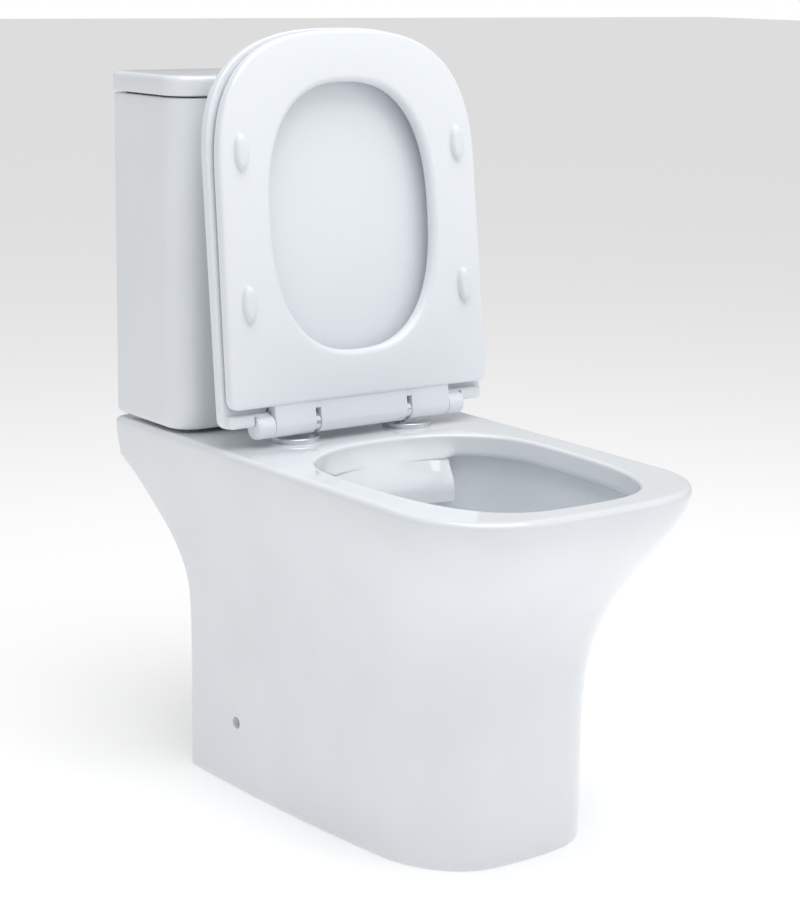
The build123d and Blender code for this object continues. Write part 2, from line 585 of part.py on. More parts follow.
with BuildPart() as cistern_tank:
    add(tank_outline(TANK_BOTTOM))
    extrude(amount=TANK_TOP - TANK_BOTTOM)
    fillet(cistern_tank.faces().sort_by(Axis.Z)[0].edges(), radius=8)
    add(tank_outline(TANK_FLOOR, -TANK_WALL))
    extrude(amount=TANK_TOP - TANK_FLOOR, mode=Mode.SUBTRACT)
    with Locations((*CENTRE, TANK_FLOOR)):
        Hole(radius=TAIL_RADIUS, depth=TANK_WALL)
    with Locations(*[(*place, TANK_FLOOR) for place in COUPLING_BOLTS]):
        Hole(radius=BOLT_RADIUS, depth=TANK_WALL)
    with Locations((*FILL, TANK_FLOOR)):
        Hole(radius=SHANK_RADIUS, depth=TANK_WALL)
    with BuildSketch(Plane.XZ.offset(-wall(TANK_BACK + TANK_WALL))):
        with Locations((-WALL_SCREW_X, WALL_SCREW_Z), (WALL_SCREW_X, WALL_SCREW_Z)):
            Circle(WALL_SCREW_RADIUS)
    extrude(amount=-TANK_WALL, mode=Mode.SUBTRACT)
write(cistern_tank, "cistern_tank")

with BuildPart() as lid_pads:
    # soft pads on the tank's rim that the lid stands on
    with BuildSketch(Plane.XY.offset(TANK_TOP)):
        with Locations(*[(x, wall(d)) for x in (-110, 110) for d in (TANK_BACK + 4.5, TANK_DEPTH - 3)]):
            Circle(3.5)
    extrude(amount=LID_BOTTOM - TANK_TOP - GAP)
write(lid_pads, "lid_pads")

with BuildPart() as cistern_lid:
    add(tank_outline(LID_BOTTOM, LID_OVERHANG))
    extrude(amount=LID_TOP - LID_BOTTOM)
    fillet(cistern_lid.faces().sort_by(Axis.Z)[-1].edges(), radius=6)
    fillet(cistern_lid.faces().sort_by(Axis.Z)[0].edges(), radius=2)
    # locating flange inside the tank
    add(tank_outline(LID_BOTTOM - FLANGE_DEPTH, -TANK_WALL - 3))
    extrude(amount=FLANGE_DEPTH + 2)
    add(tank_outline(LID_BOTTOM - FLANGE_DEPTH, -TANK_WALL - 10))
    extrude(amount=LID_TOP - LID_THICKNESS - LID_BOTTOM + FLANGE_DEPTH, mode=Mode.SUBTRACT)
    with Locations((*CENTRE, LID_TOP)):
        Hole(radius=SLEEVE_RADIUS, depth=LID_THICKNESS)
write(cistern_lid, "cistern_lid")

# ---------------------------------------------------------------- dual flush button, in the lid
with BuildPart() as button_sleeve:
    with BuildSketch(Plane.XY.offset(LID_TOP)):
        with Locations(CENTRE):
            Circle(BEZEL_RADIUS)
    extrude(amount=BEZEL_HEIGHT)
    fillet(button_sleeve.faces().sort_by(Axis.Z)[-1].edges(), radius=1.5)
    with BuildSketch(Plane.XY.offset(SLEEVE_BOTTOM)):
        with Locations(CENTRE):
            Circle(SLEEVE_RADIUS)
    extrude(amount=LID_TOP - SLEEVE_BOTTOM)
    with BuildSketch(Plane.XY.offset(SLEEVE_BOTTOM + 3)):
        with Locations(CENTRE):
            Circle(BUTTON_RADIUS + 0.4)
    extrude(amount=60, mode=Mode.SUBTRACT)
    with BuildSketch(Plane.XY.offset(SLEEVE_BOTTOM)):
        with Locations(*[(x, wall(TANK_CENTRE)) for x in ROD_PLACES]):
            Circle(ROD_RADIUS + 0.4)
    extrude(amount=3, mode=Mode.SUBTRACT)
write(button_sleeve, "button_sleeve")

with BuildPart() as button_nut:
    with BuildSketch(Plane.XY.offset(LID_TOP - LID_THICKNESS - 7)):
        with Locations(CENTRE):
            RegularPolygon(30, 8)
            Circle(SLEEVE_RADIUS, mode=Mode.SUBTRACT)
    extrude(amount=7)
write(button_nut, "button_nut")

for name, start, end, x in (
    ("full_flush", BUTTON_SPLIT + 0.4, BUTTON_RADIUS + 1, ROD_PLACES[1]),
    ("half_flush", -BUTTON_RADIUS - 1, BUTTON_SPLIT - 0.4, ROD_PLACES[0]),
):
    with BuildPart() as button:
        with BuildSketch(Plane.XY.offset(BUTTON_BOTTOM)):
            with Locations(CENTRE):
                Circle(BUTTON_RADIUS)
            with Locations(((start + end) / 2, wall(TANK_CENTRE))):
                Rectangle(end - start, 2 * BUTTON_RADIUS + 2, mode=Mode.INTERSECT)
        extrude(amount=BUTTON_TOP - BUTTON_BOTTOM)
        fillet(button.faces().sort_by(Axis.Z)[-1].edges(), radius=1)
    write(button, f"{name}_button")

    with BuildPart() as push_rod:
        with BuildSketch(Plane.XY.offset(ROD_BOTTOM)):
            with Locations((x, wall(TANK_CENTRE))):
                Circle(ROD_RADIUS)
        extrude(amount=BUTTON_BOTTOM - ROD_BOTTOM)
    write(push_rod, f"{name}_push_rod")

# ---------------------------------------------------------------- flush valve
with BuildPart() as flush_valve_body:
    with BuildSketch(Plane.XY.offset(TANK_FLOOR + SEAL_THICKNESS)):
        with Locations(CENTRE):
            Circle(VALVE_FLANGE)
    extrude(amount=5)
    with BuildSketch(Plane.XY.offset(TAIL_BOTTOM)):
        with Locations(CENTRE):
            Circle(TAIL_RADIUS)
    extrude(amount=TANK_FLOOR + SEAL_THICKNESS - TAIL_BOTTOM)
    # posts of the cage and the bridge that carries the release levers
    with BuildSketch(Plane.XY.offset(VALVE_SEAT)):
        with Locations(CENTRE):
            with PolarLocations(CAGE_RADIUS, 4, start_angle=45):
                Circle(4)
    extrude(amount=BRIDGE_BOTTOM - VALVE_SEAT)
    with BuildSketch(Plane.XY.offset(BRIDGE_BOTTOM)):
        with Locations(CENTRE):
            Circle(CAGE_RADIUS + 5)
    extrude(amount=BRIDGE_THICKNESS)
    with BuildSketch(Plane.XY.offset(BRIDGE_BOTTOM)):
        with Locations(CENTRE):
            Circle(OVERFLOW_RADIUS + 0.6)
    extrude(amount=BRIDGE_THICKNESS, mode=Mode.SUBTRACT)
    with BuildSketch(Plane.XY.offset(TAIL_BOTTOM)):
        with Locations(CENTRE):
            Circle(TAIL_BORE)
    extrude(amount=VALVE_SEAT - TAIL_BOTTOM, mode=Mode.SUBTRACT)
write(flush_valve_body, "flush_valve_body")

with BuildPart() as flush_valve_riser:
    # overflow tube with the disc that carries the seal
    with BuildSketch(Plane.XY.offset(VALVE_SEAT + SEAL_LIFT)):
        with Locations(CENTRE):
            Circle(OVERFLOW_RADIUS)
    extrude(amount=OVERFLOW_TOP - VALVE_SEAT - SEAL_LIFT)
    with BuildSketch(Plane.XY.offset(VALVE_SEAT + SEAL_LIFT)):
        with Locations(CENTRE):
            Circle(RISER_DISC)
    extrude(amount=5)
    with BuildSketch(Plane.XY.offset(VALVE_SEAT + SEAL_LIFT)):
        with Locations(CENTRE):
            Circle(OVERFLOW_RADIUS - 2)
    extrude(amount=OVERFLOW_TOP - VALVE_SEAT, mode=Mode.SUBTRACT)
write(flush_valve_riser, "flush_valve_riser")

with BuildPart() as flush_valve_seal:
    with BuildSketch(Plane.XY.offset(VALVE_SEAT + GAP)):
        with Locations(CENTRE):
            Circle(RISER_DISC + 2)
            Circle(OVERFLOW_RADIUS, mode=Mode.SUBTRACT)
    extrude(amount=SEAL_LIFT - GAP)
write(flush_valve_seal, "flush_valve_seal")

with BuildPart() as flush_valve_washer:
    with BuildSketch(Plane.XY.offset(TANK_FLOOR)):
        with Locations(CENTRE):
            Circle(VALVE_FLANGE - 1)
            Circle(TAIL_RADIUS, mode=Mode.SUBTRACT)
    extrude(amount=SEAL_THICKNESS)
write(flush_valve_washer, "flush_valve_washer")

with BuildPart() as flush_valve_nut:
    with BuildSketch(Plane.XY.offset(TAIL_BOTTOM + 2)):
        with Locations(CENTRE):
            RegularPolygon(BACK_NUT_RADIUS, 8)
            Circle(TAIL_RADIUS, mode=Mode.SUBTRACT)
    extrude(amount=TANK_BOTTOM - TAIL_BOTTOM - 2)
write(flush_valve_nut, "flush_valve_nut")

with BuildPart() as coupling_gasket:
    # foam ring between the tank and the deck, with a lip down into the deck's hole
    with BuildSketch(Plane.XY.offset(RIM_HEIGHT)):
        with Locations(CENTRE):
            Circle(GASKET_RADIUS)
    extrude(amount=TANK_BOTTOM - RIM_HEIGHT)
    with BuildSketch(Plane.XY.offset(DECK_UNDERSIDE + 1)):
        with Locations(CENTRE):
            Circle(FLUSH_HOLE_RADIUS)
    extrude(amount=RIM_HEIGHT - DECK_UNDERSIDE - 1)
    with BuildSketch(Plane.XY.offset(DECK_UNDERSIDE)):
        with Locations(CENTRE):
            Circle(BACK_NUT_RADIUS + 0.3)
    extrude(amount=40, mode=Mode.SUBTRACT)
write(coupling_gasket, "coupling_gasket")

with BuildPart() as coupling_bolts:
    with BuildSketch(Plane.XY.offset(DECK_UNDERSIDE - 30)):
        with Locations(*COUPLING_BOLTS):
            Circle(BOLT_RADIUS)
    extrude(amount=TANK_FLOOR + 3 - DECK_UNDERSIDE + 30)
    with BuildSketch(Plane.XY.offset(TANK_FLOOR + 3)):
        with Locations(*COUPLING_BOLTS):
            RegularPolygon(7.5, 6)
    extrude(amount=5)
write(coupling_bolts, "coupling_bolts")

with BuildPart() as coupling_seals:
    with BuildSketch(Plane.XY.offset(TANK_FLOOR)):
        with Locations(*COUPLING_BOLTS):
            Circle(12)
            Circle(BOLT_RADIUS, mode=Mode.SUBTRACT)
    extrude(amount=3)
write(coupling_seals, "coupling_seals")

with BuildPart() as coupling_washers:
    with BuildSketch(Plane.XY.offset(DECK_UNDERSIDE - 2)):
        with Locations(*COUPLING_BOLTS):
            Circle(11)
            Circle(BOLT_RADIUS, mode=Mode.SUBTRACT)
    extrude(amount=2)
write(coupling_washers, "coupling_washers")

write(wing_nuts(COUPLING_BOLTS, DECK_UNDERSIDE - 2), "coupling_nuts")

# ---------------------------------------------------------------- fill valve
with BuildPart() as fill_valve_body:
    with BuildSketch(Plane.XY.offset(INLET_BOTTOM)):
        with Locations(FILL):
            Circle(TAIL_THREAD_RADIUS)
    extrude(amount=INLET_TOP - INLET_BOTTOM)
    with BuildSketch(Plane.XY.offset(INLET_TOP)):
        with Locations(FILL):
            Circle(SHANK_RADIUS)
    extrude(amount=TANK_FLOOR + 3 - INLET_TOP)
    with BuildSketch(Plane.XY.offset(TANK_FLOOR + 3)):
        with Locations(FILL):
            Circle(17)
    extrude(amount=4)
    with BuildSketch(Plane.XY.offset(TANK_FLOOR + 7)):
        with Locations(FILL):
            Circle(STEM_RADIUS)
    extrude(amount=FILL_HEAD - TANK_FLOOR - 7)
    with BuildSketch(Plane.XY.offset(INLET_BOTTOM)):
        with Locations(FILL):
            Circle(6)
    extrude(amount=FILL_HEAD - INLET_BOTTOM, mode=Mode.SUBTRACT)
write(fill_valve_body, "fill_valve_body")

with BuildPart() as fill_valve_head:
    with BuildSketch(Plane.XY.offset(FILL_HEAD)):
        with Locations(FILL):
            Circle(18)
    extrude(amount=HEAD_HEIGHT)
    # fork that carries the lever's pin
    with BuildSketch(Plane.XY.offset(FILL_HEAD + HEAD_HEIGHT)):
        with Locations(*[(FILL_X + x, wall(TANK_CENTRE)) for x in (-6, 6)]):
            Rectangle(4, 12)
    extrude(amount=FORK_HEIGHT)
    with BuildSketch(Plane.YZ.offset(FILL_X - 20)):
        with Locations((wall(TANK_CENTRE), LEVER_HEIGHT)):
            Circle(LEVER_PIN)
    extrude(amount=40, mode=Mode.SUBTRACT)
write(fill_valve_head, "fill_valve_head")

with BuildPart() as fill_lever_pin:
    with BuildSketch(Plane.YZ.offset(FILL_X - 9)):
        with Locations((wall(TANK_CENTRE), LEVER_HEIGHT)):
            Circle(LEVER_PIN)
    extrude(amount=18)
write(fill_lever_pin, "fill_lever_pin")

with BuildPart() as fill_lever:
    with BuildSketch(Plane.YZ.offset(FILL_X - 3)):
        with BuildLine():
            Polyline(
                (wall(TANK_CENTRE) + 5, LEVER_HEIGHT - 3),
                (wall(TANK_CENTRE) + 5, LEVER_HEIGHT + 3),
                (wall(TANK_CENTRE) - LEVER_LENGTH, LEVER_HEIGHT + 3),
                (wall(TANK_CENTRE) - LEVER_LENGTH, LEVER_HEIGHT - 3),
                close=True,
            )
        make_face()
        with Locations((wall(TANK_CENTRE), LEVER_HEIGHT)):
            Circle(LEVER_PIN + FIT, mode=Mode.SUBTRACT)
    extrude(amount=6)
write(fill_lever, "fill_lever")

with BuildPart() as fill_float:
    with BuildSketch(Plane.XY.offset(FLOAT_BOTTOM)):
        with Locations(FILL):
            Circle(FLOAT_RADIUS)
            Circle(STEM_RADIUS + 1, mode=Mode.SUBTRACT)
    extrude(amount=FLOAT_HEIGHT)
    fillet(fill_float.faces().sort_by(Axis.Z)[-1].edges(), radius=2)
write(fill_float, "fill_float")

with BuildPart() as float_rod:
    with BuildSketch(Plane.XY.offset(FLOAT_BOTTOM + FLOAT_HEIGHT)):
        with Locations((FILL_X, wall(TANK_CENTRE) - FLOAT_ROD)):
            Circle(2)
    extrude(amount=LEVER_HEIGHT - 3 - 4 * GAP - FLOAT_BOTTOM - FLOAT_HEIGHT)
write(float_rod, "float_rod")

with BuildPart() as fill_valve_washer:
    with BuildSketch(Plane.XY.offset(TANK_FLOOR)):
        with Locations(FILL):
            Circle(16)
            Circle(SHANK_RADIUS, mode=Mode.SUBTRACT)
    extrude(amount=3)
write(fill_valve_washer, "fill_valve_washer")

with BuildPart() as fill_valve_nut:
    with BuildSketch(Plane.XY.offset(TANK_BOTTOM - 9)):
        with Locations(FILL):
            RegularPolygon(17, 6)
            Circle(SHANK_RADIUS, mode=Mode.SUBTRACT)
    extrude(amount=9)
write(fill_valve_nut, "fill_valve_nut")
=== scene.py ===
# %% [markdown]
# # A close coupled toilet, made from surfaces
# The object is a pan of glazed china with a cistern standing on the back of it, and a moulded seat and
# cover on metal hinges. The measured model is loaded first and never moved. Every shape below is worked
# out in millimetres from its boxes and is turned into metres only when the mesh is made.

# %% Load the measured model
import json
import math

import bmesh
import bpy
import numpy as np
from mathutils import Matrix, Vector


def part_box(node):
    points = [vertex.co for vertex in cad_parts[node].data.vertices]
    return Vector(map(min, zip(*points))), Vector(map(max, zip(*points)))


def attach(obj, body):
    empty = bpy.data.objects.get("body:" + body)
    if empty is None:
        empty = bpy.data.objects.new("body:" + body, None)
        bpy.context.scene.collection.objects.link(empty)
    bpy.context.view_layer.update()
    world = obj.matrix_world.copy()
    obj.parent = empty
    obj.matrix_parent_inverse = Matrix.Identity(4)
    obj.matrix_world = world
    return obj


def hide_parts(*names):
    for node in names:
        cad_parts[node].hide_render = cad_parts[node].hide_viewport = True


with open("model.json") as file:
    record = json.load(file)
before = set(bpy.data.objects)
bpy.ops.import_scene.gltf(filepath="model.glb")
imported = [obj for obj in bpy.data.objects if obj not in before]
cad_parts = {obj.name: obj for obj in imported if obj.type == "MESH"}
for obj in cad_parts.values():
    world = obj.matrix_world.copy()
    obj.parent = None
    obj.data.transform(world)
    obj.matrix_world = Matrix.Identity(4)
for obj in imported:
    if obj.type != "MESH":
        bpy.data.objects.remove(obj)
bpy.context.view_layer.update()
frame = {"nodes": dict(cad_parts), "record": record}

joints = {joint["name"]: joint for joint in frame["record"]["behaviour"]["joints"]}


def millimetres(node):
    """Lowest and highest corner of a node of the measured model, in millimetres."""
    low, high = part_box(node)
    return np.array(low) * 1000, np.array(high) * 1000


# %% [markdown]
# ## From a grid of points to a mesh
# A surface here is an array of points, rows by columns. Several grids that share an edge become one
# skin when their equal points are welded, which also closes a pole where a whole row is one point.

# %% Grids into meshes
def as_mesh(name, grids, wrap=True, smooth_angle=38.0):
    """One closed mesh from grids of points in millimetres: [rows, columns, 3], columns wrapping round."""
    points, quads, start = [], [], 0
    for grid in grids:
        grid, wraps = grid if isinstance(grid, tuple) else (grid, wrap)
        rows, columns = grid.shape[:2]
        index = start + np.arange(rows * columns).reshape(rows, columns)
        across = np.concatenate([index, index[:, :1]], axis=1) if wraps else index
        around = [across[:-1, :-1], across[:-1, 1:], across[1:, 1:], across[1:, :-1]]
        quads.append(np.stack(around, axis=-1).reshape(-1, 4))
        points.append(grid.reshape(-1, 3))
        start += rows * columns
    points, quads = np.concatenate(points), np.concatenate(quads)
    _, first, same = np.unique(np.round(points, 3), axis=0, return_index=True, return_inverse=True)
    points, quads = points[first], same.reshape(-1)[quads]
    faces = [list(dict.fromkeys(quad)) for quad in quads.tolist()]
    mesh = bpy.data.meshes.new(name)
    mesh.from_pydata((points / 1000).tolist(), [], [face for face in faces if len(face) > 2])
    return finish_mesh(mesh, smooth_angle)


def finish_mesh(mesh, smooth_angle):
    """Turns every face outwards, shades the skin smooth and keeps its real corners sharp."""
    work = bmesh.new()
    work.from_mesh(mesh)
    bmesh.ops.remove_doubles(work, verts=work.verts, dist=2e-6)
    bmesh.ops.recalc_face_normals(work, faces=work.faces)
    work.to_mesh(mesh)
    work.free()
    mesh.polygons.foreach_set("use_smooth", np.ones(len(mesh.polygons), bool))
    mesh.set_sharp_from_angle(angle=math.radians(smooth_angle))
    return mesh


def add_piece(name, mesh, body, material, replaces=()):
    """Shows the mesh as a piece that rides on a body and stands for nodes of the measured model."""
    piece = bpy.data.objects.new(name, mesh)
    bpy.context.scene.collection.objects.link(piece)
    mesh.materials.clear()
    mesh.materials.append(material)
    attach(piece, body)
    if replaces:
        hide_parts(*replaces)
    size = np.ptp(np.array([vertex.co for vertex in mesh.vertices]), axis=0) * 1000
    print(f"{name}: {len(mesh.polygons)} faces, {np.round(size, 1)} mm")
    return piece


def lathe(profile, centre, direction=(0, 0, 1), count=64):
    """Surface of revolution: each (radius, height) of the profile swept round a line through centre."""
    profile = np.asarray(profile, float)
    turn = np.linspace(0, 2 * np.pi, count, endpoint=False)
    along = np.asarray(direction, float)
    side = np.cross(along, (0, 1, 0) if abs(along[1]) < 0.9 else (0, 0, 1))
    side = side / np.linalg.norm(side)
    other = np.cross(along, side)
    ring = np.cos(turn)[:, None] * side + np.sin(turn)[:, None] * other
    return np.asarray(centre) + profile[:, None, :1] * ring[None] + profile[:, None, 1:2] * along


def rounded(corners, radius, steps=5):
    """A (radius, height) profile whose inner corners are rounded with small arcs."""
    corners = np.asarray(corners, float)
    radii = np.broadcast_to(radius, len(corners))
    out = [corners[:1]]
    for before, corner, after, size in zip(corners[:-2], corners[1:-1], corners[2:], radii[1:-1]):
        back, ahead = before - corner, after - corner
        reach = min(size, 0.45 * np.linalg.norm(back), 0.45 * np.linalg.norm(ahead))
        start = corner + back / np.linalg.norm(back) * reach
        end = corner + ahead / np.linalg.norm(ahead) * reach
        t = np.linspace(0, 1, steps)[:, None]
        out.append((1 - t) ** 2 * start + 2 * t * (1 - t) * corner + t**2 * end)
    out.append(corners[-1:])
    return np.concatenate(out)


def carve(piece_mesh, cutters):
    """Takes cutter solids out of a mesh with an exact Boolean and returns the new mesh."""
    body = bpy.data.objects.new("body_to_carve", piece_mesh)
    bpy.context.scene.collection.objects.link(body)
    for number, cutter_mesh in enumerate(cutters):
        cutter = bpy.data.objects.new(f"cutter_{number}", cutter_mesh)
        bpy.context.scene.collection.objects.link(cutter)
        step = body.modifiers.new(f"cut_{number}", "BOOLEAN")
        step.operation, step.solver, step.object = "DIFFERENCE", "EXACT", cutter
    graph = bpy.context.evaluated_depsgraph_get()
    carved = bpy.data.meshes.new_from_object(body.evaluated_get(graph))
    for step in body.modifiers:
        bpy.data.objects.remove(step.object)
    bpy.data.objects.remove(body)
    carved.name = piece_mesh.name
    return carved


def drill(radius, start, direction, length):
    """A closed cylinder for a bore, from a start point along a direction."""
    profile = [(0, 0), (radius, 0), (radius, length), (0, length)]
    return as_mesh("drill", [lathe(profile, start, direction, count=40)])


# %% [markdown]
# ## Colours and a small helper for materials
# Paint and glaze colours are written as the hex values a designer would use. Shaders want linear light,
# so one function converts them. A second function adds a node, sets its inputs and makes its links.

# %% Colour and node helpers
def linear(code):
    """An sRGB hex colour as linear red, green, blue and alpha."""
    parts = np.array([int(code[i : i + 2], 16) for i in (0, 2, 4)]) / 255
    parts = np.where(parts <= 0.04045, parts / 12.92, ((parts + 0.055) / 1.055) ** 2.4)
    return (*parts.tolist(), 1.0)


def node(tree, kind, settings=None, inputs=None, links=None):
    """Adds one shader node: attributes, constant inputs, and links given as (node, output name)."""
    made = tree.nodes.new(kind)
    for key, value in (settings or {}).items():
        setattr(made, key, value)
    for key, value in (inputs or {}).items():
        made.inputs[key].default_value = value
    for key, (source, output) in (links or {}).items():
        tree.links.new(source.outputs[output], made.inputs[key])
    return made


def new_material(name, colour, roughness, **constants):
    """A material with a Principled shader. Returns the material, its node tree and the shader."""
    material = bpy.data.materials.new(name)
    material.use_nodes = True
    tree = material.node_tree
    shader = tree.nodes["Principled BSDF"]
    shader.inputs["Base Color"].default_value = linear(colour)
    shader.inputs["Roughness"].default_value = roughness
    for key, value in constants.items():
        shader.inputs[key.replace("_", " ")].default_value = value
    return material, tree, shader


def give_texture(tree, shader, scale, low, high, bump=0.0, distance=0.001, detail=3.0, tints=None):
    """Noise on object coordinates that varies roughness between two values, bumps and tints a surface."""
    place = node(tree, "ShaderNodeTexCoord")
    noise = node(
        tree,
        "ShaderNodeTexNoise",
        inputs={"Scale": scale, "Detail": detail},
        links={"Vector": (place, "Object")},
    )
    spread = node(
        tree,
        "ShaderNodeMapRange",
        inputs={"From Min": 0.3, "From Max": 0.7, "To Min": low, "To Max": high},
        links={"Value": (noise, "Fac")},
    )
    tree.links.new(spread.outputs["Result"], shader.inputs["Roughness"])
    if bump:
        dent = node(
            tree,
            "ShaderNodeBump",
            inputs={"Strength": bump, "Distance": distance},
            links={"Height": (noise, "Fac")},
        )
        tree.links.new(dent.outputs["Normal"], shader.inputs["Normal"])
    if tints:
        ramp = node(tree, "ShaderNodeValToRGB", links={"Fac": (noise, "Fac")})
        for stop, (position, code) in zip(ramp.color_ramp.elements, tints):
            stop.position, stop.color = position, linear(code)
        tree.links.new(ramp.outputs["Color"], shader.inputs["Base Color"])
    return noise


# %% [markdown]
# ## Finishes
# Vitreous china is clay under a fired glass glaze: an even white body, a mirror-like skin, and a very
# slow ripple where the glaze pooled as it melted. The seat is duroplast, pressed between steel dies, so
# it is as white but its gloss is a little softer. Hinges are chrome plated, inner fittings are plain
# moulded plastic, rubber and zinc plated steel.

# %% Make the materials
GLAZE_RIPPLE = 90.0  # mm from one pool of the glaze to the next
MOULD_GRAIN = 1.6  # mm, drawn coarser than the real die polish so that it can show

GLAZE_TINTS = [(0.35, "e4e8ec"), (0.65, "e7ebef")]
DUROPLAST_TINTS = [(0.3, "e8ecf1"), (0.7, "ebeff4")]

china, tree, shader = new_material("glazed_vitreous_china", "e6eaee", 0.06, IOR=1.5, Coat_Weight=0.35)
shader.inputs["Coat Roughness"].default_value = 0.03
give_texture(tree, shader, 1000 / GLAZE_RIPPLE, 0.045, 0.075, 0.03, 0.0008, 1.0, GLAZE_TINTS)

duroplast, tree, shader = new_material("pressed_duroplast", "e9edf2", 0.16, IOR=1.53)
give_texture(tree, shader, 1000 / MOULD_GRAIN, 0.13, 0.19, 0.02, 0.0001, 2.0, DUROPLAST_TINTS)

chrome, tree, shader = new_material("chrome_plate", "d9dcdf", 0.08, Metallic=1.0)
give_texture(tree, shader, 90, 0.05, 0.12)

satin_chrome, tree, shader = new_material("satin_chrome_plate", "dde0e3", 0.34, Metallic=1.0)
give_texture(tree, shader, 700, 0.3, 0.4, 0.02, 0.00005)

zinc, tree, shader = new_material("zinc_plated_steel", "a9aaa6", 0.4, Metallic=1.0)
give_texture(tree, shader, 260, 0.3, 0.55, 0.08, 0.0001, 4.0, [(0.3, "9b9c98"), (0.7, "b8b8b2")])

polypropylene, tree, shader = new_material("moulded_polypropylene", "e4e4e0", 0.42, IOR=1.49)
give_texture(tree, shader, 380, 0.36, 0.5, 0.06, 0.0001, 3.0, [(0.3, "e0e0dc"), (0.7, "e8e8e4")])

blue_acetal, tree, shader = new_material("moulded_blue_acetal", "4a6f9c", 0.38, IOR=1.48)
give_texture(tree, shader, 380, 0.32, 0.46, 0.06, 0.0001)

soft_buffer, tree, shader = new_material("soft_white_elastomer", "e6eaee", 0.45, IOR=1.45)
give_texture(tree, shader, 420, 0.4, 0.52, 0.05, 0.0001)

black_rubber, tree, shader = new_material("moulded_rubber", "1b1b1c", 0.62, IOR=1.52)
give_texture(tree, shader, 300, 0.55, 0.72, 0.15, 0.0002, 4.0)

foam, tree, shader = new_material("closed_cell_foam", "232425", 0.9, IOR=1.4)
place = node(tree, "ShaderNodeTexCoord")
cells = node(tree, "ShaderNodeTexVoronoi", inputs={"Scale": 700.0}, links={"Vector": (place, "Object")})
pits = node(
    tree,
    "ShaderNodeBump",
    inputs={"Strength": 0.5, "Distance": 0.0005},
    links={"Height": (cells, "Distance")},
)
tree.links.new(pits.outputs["Normal"], shader.inputs["Normal"])

FINISH = {
    "china": china,
    "seat_plastic": duroplast,
    "chrome": chrome,
    "satin_metal": satin_chrome,
    "buffer_plastic": soft_buffer,
    "white_plastic": polypropylene,
    "blue_plastic": blue_acetal,
    "rubber": black_rubber,
    "foam": foam,
    "zinc_steel": zinc,
}
for entry in frame["record"]["subparts"]:
    shown = frame["nodes"][entry["node"]]
    shown.data.materials.clear()
    shown.data.materials.append(FINISH[entry["material_slot"]])
print("finishes:", ", ".join(sorted(material.name for material in FINISH.values())))

# %% [markdown]
# ## The plan of the pan
# Seen from above, the pan is a rounded rectangle, straight at the wall and bowed at the front. Each
# height has its own plan: the foot is narrower and shorter than the rim, and the inset follows half a
# cosine wave. All heights are worked out at once, as rows of one array.

# %% Driving sizes of the pan
# the casting is four solids in the measured model, and one skin here
PAN_NODES = ("pan_bowl", "pan_deck", "pan_foot", "pan_trapway")
pan_boxes = np.array([millimetres(name) for name in PAN_NODES])
pan_low, pan_high = pan_boxes[:, 0].min(axis=0), pan_boxes[:, 1].max(axis=0)
RIM = pan_high[2]
WALL = pan_high[1]
FRONT = pan_low[1] - 0.6
HALF = pan_high[0] + 0.2
FLARE_START, FLARE_POWER = 60.0, 2.1
SIDE_INSET, FRONT_INSET = 33.0, 104.0
CHINA = 12.0  # thickness of the fired wall
APRON_TOP = RIM - 50.0  # underside of the deck's back face
FOOT_BACK = 118.0  # how far the back of the foot stands from the wall
EDGE = 3.0  # rounding of the china's cut edges
RIM_EDGE = 7.0
# columns on half of the back, its corner, the side, the front corner and half of the front
PAN_COUNTS = (12, 8, 64, 26, 22)
FRONT_BOW = 19.0  # how far the front bulges at its middle
print("pan:", np.round(pan_high - pan_low, 1), "mm, rim at", round(float(RIM), 1))


def smooth(value, low, high):
    """0 below low, 1 above high, and a smooth S between."""
    t = np.clip((value - low) / (high - low), 0, 1)
    return t * t * (3 - 2 * t)


def column(value):
    """A list of row values as a column, so that it spreads across a row of points."""
    return np.atleast_1d(np.asarray(value, float))[:, None]


def mirrored(right):
    """A closed loop from its right half, which runs from the middle of the back to that of the front."""
    left = right[:, -1:0:-1] * (-1, 1)
    return np.concatenate([right, left], axis=1)


def rounded_plan(half, rear, front, rear_corner, front_corner, bow, taper, power=2.25, counts=PAN_COUNTS):
    """Rounded rectangle with squarer than circular corners, its sides drawn in and its front bowed.

    The plain rectangle is bent by t squared, where t runs from 0 at the back to 1 at the front: x shrinks
    by the taper, and y moves back by the bow towards the sides.
    """
    half, rear, front, rear_corner, front_corner, bow, taper = map(
        column, (half, rear, front, rear_corner, front_corner, bow, taper)
    )
    run = [np.linspace(0, 1, count, endpoint=False)[None] for count in counts[:-1]]
    last = np.linspace(0, 1, counts[-1])[None]
    angle_rear, angle_front = (1 - run[1]) * np.pi / 2, run[3] * np.pi / 2
    x = [
        run[0] * (half - rear_corner),
        half - rear_corner + rear_corner * np.cos(angle_rear) ** (2 / power),
        half + 0 * run[2],
        half - front_corner + front_corner * np.cos(angle_front) ** (2 / power),
        (half - front_corner) * (1 - last),
    ]
    y = [
        rear + 0 * run[0],
        rear - rear_corner + rear_corner * np.sin(angle_rear) ** (2 / power),
        rear - rear_corner + run[2] * (front + front_corner - rear + rear_corner),
        front + front_corner - front_corner * np.sin(angle_front) ** (2 / power),
        front + 0 * last,
    ]
    rows = max(half.shape[0], front.shape[0], rear.shape[0])
    x = np.concatenate([np.broadcast_to(part, (rows, part.shape[1])) for part in x], axis=1)
    y = np.concatenate([np.broadcast_to(part, (rows, part.shape[1])) for part in y], axis=1)
    t = (rear - y) / (rear - front)
    bent = np.stack([x * (1 - taper / half * t**2), y + bow * (x / half) ** 2 * t**2], axis=-1)
    return mirrored(bent)


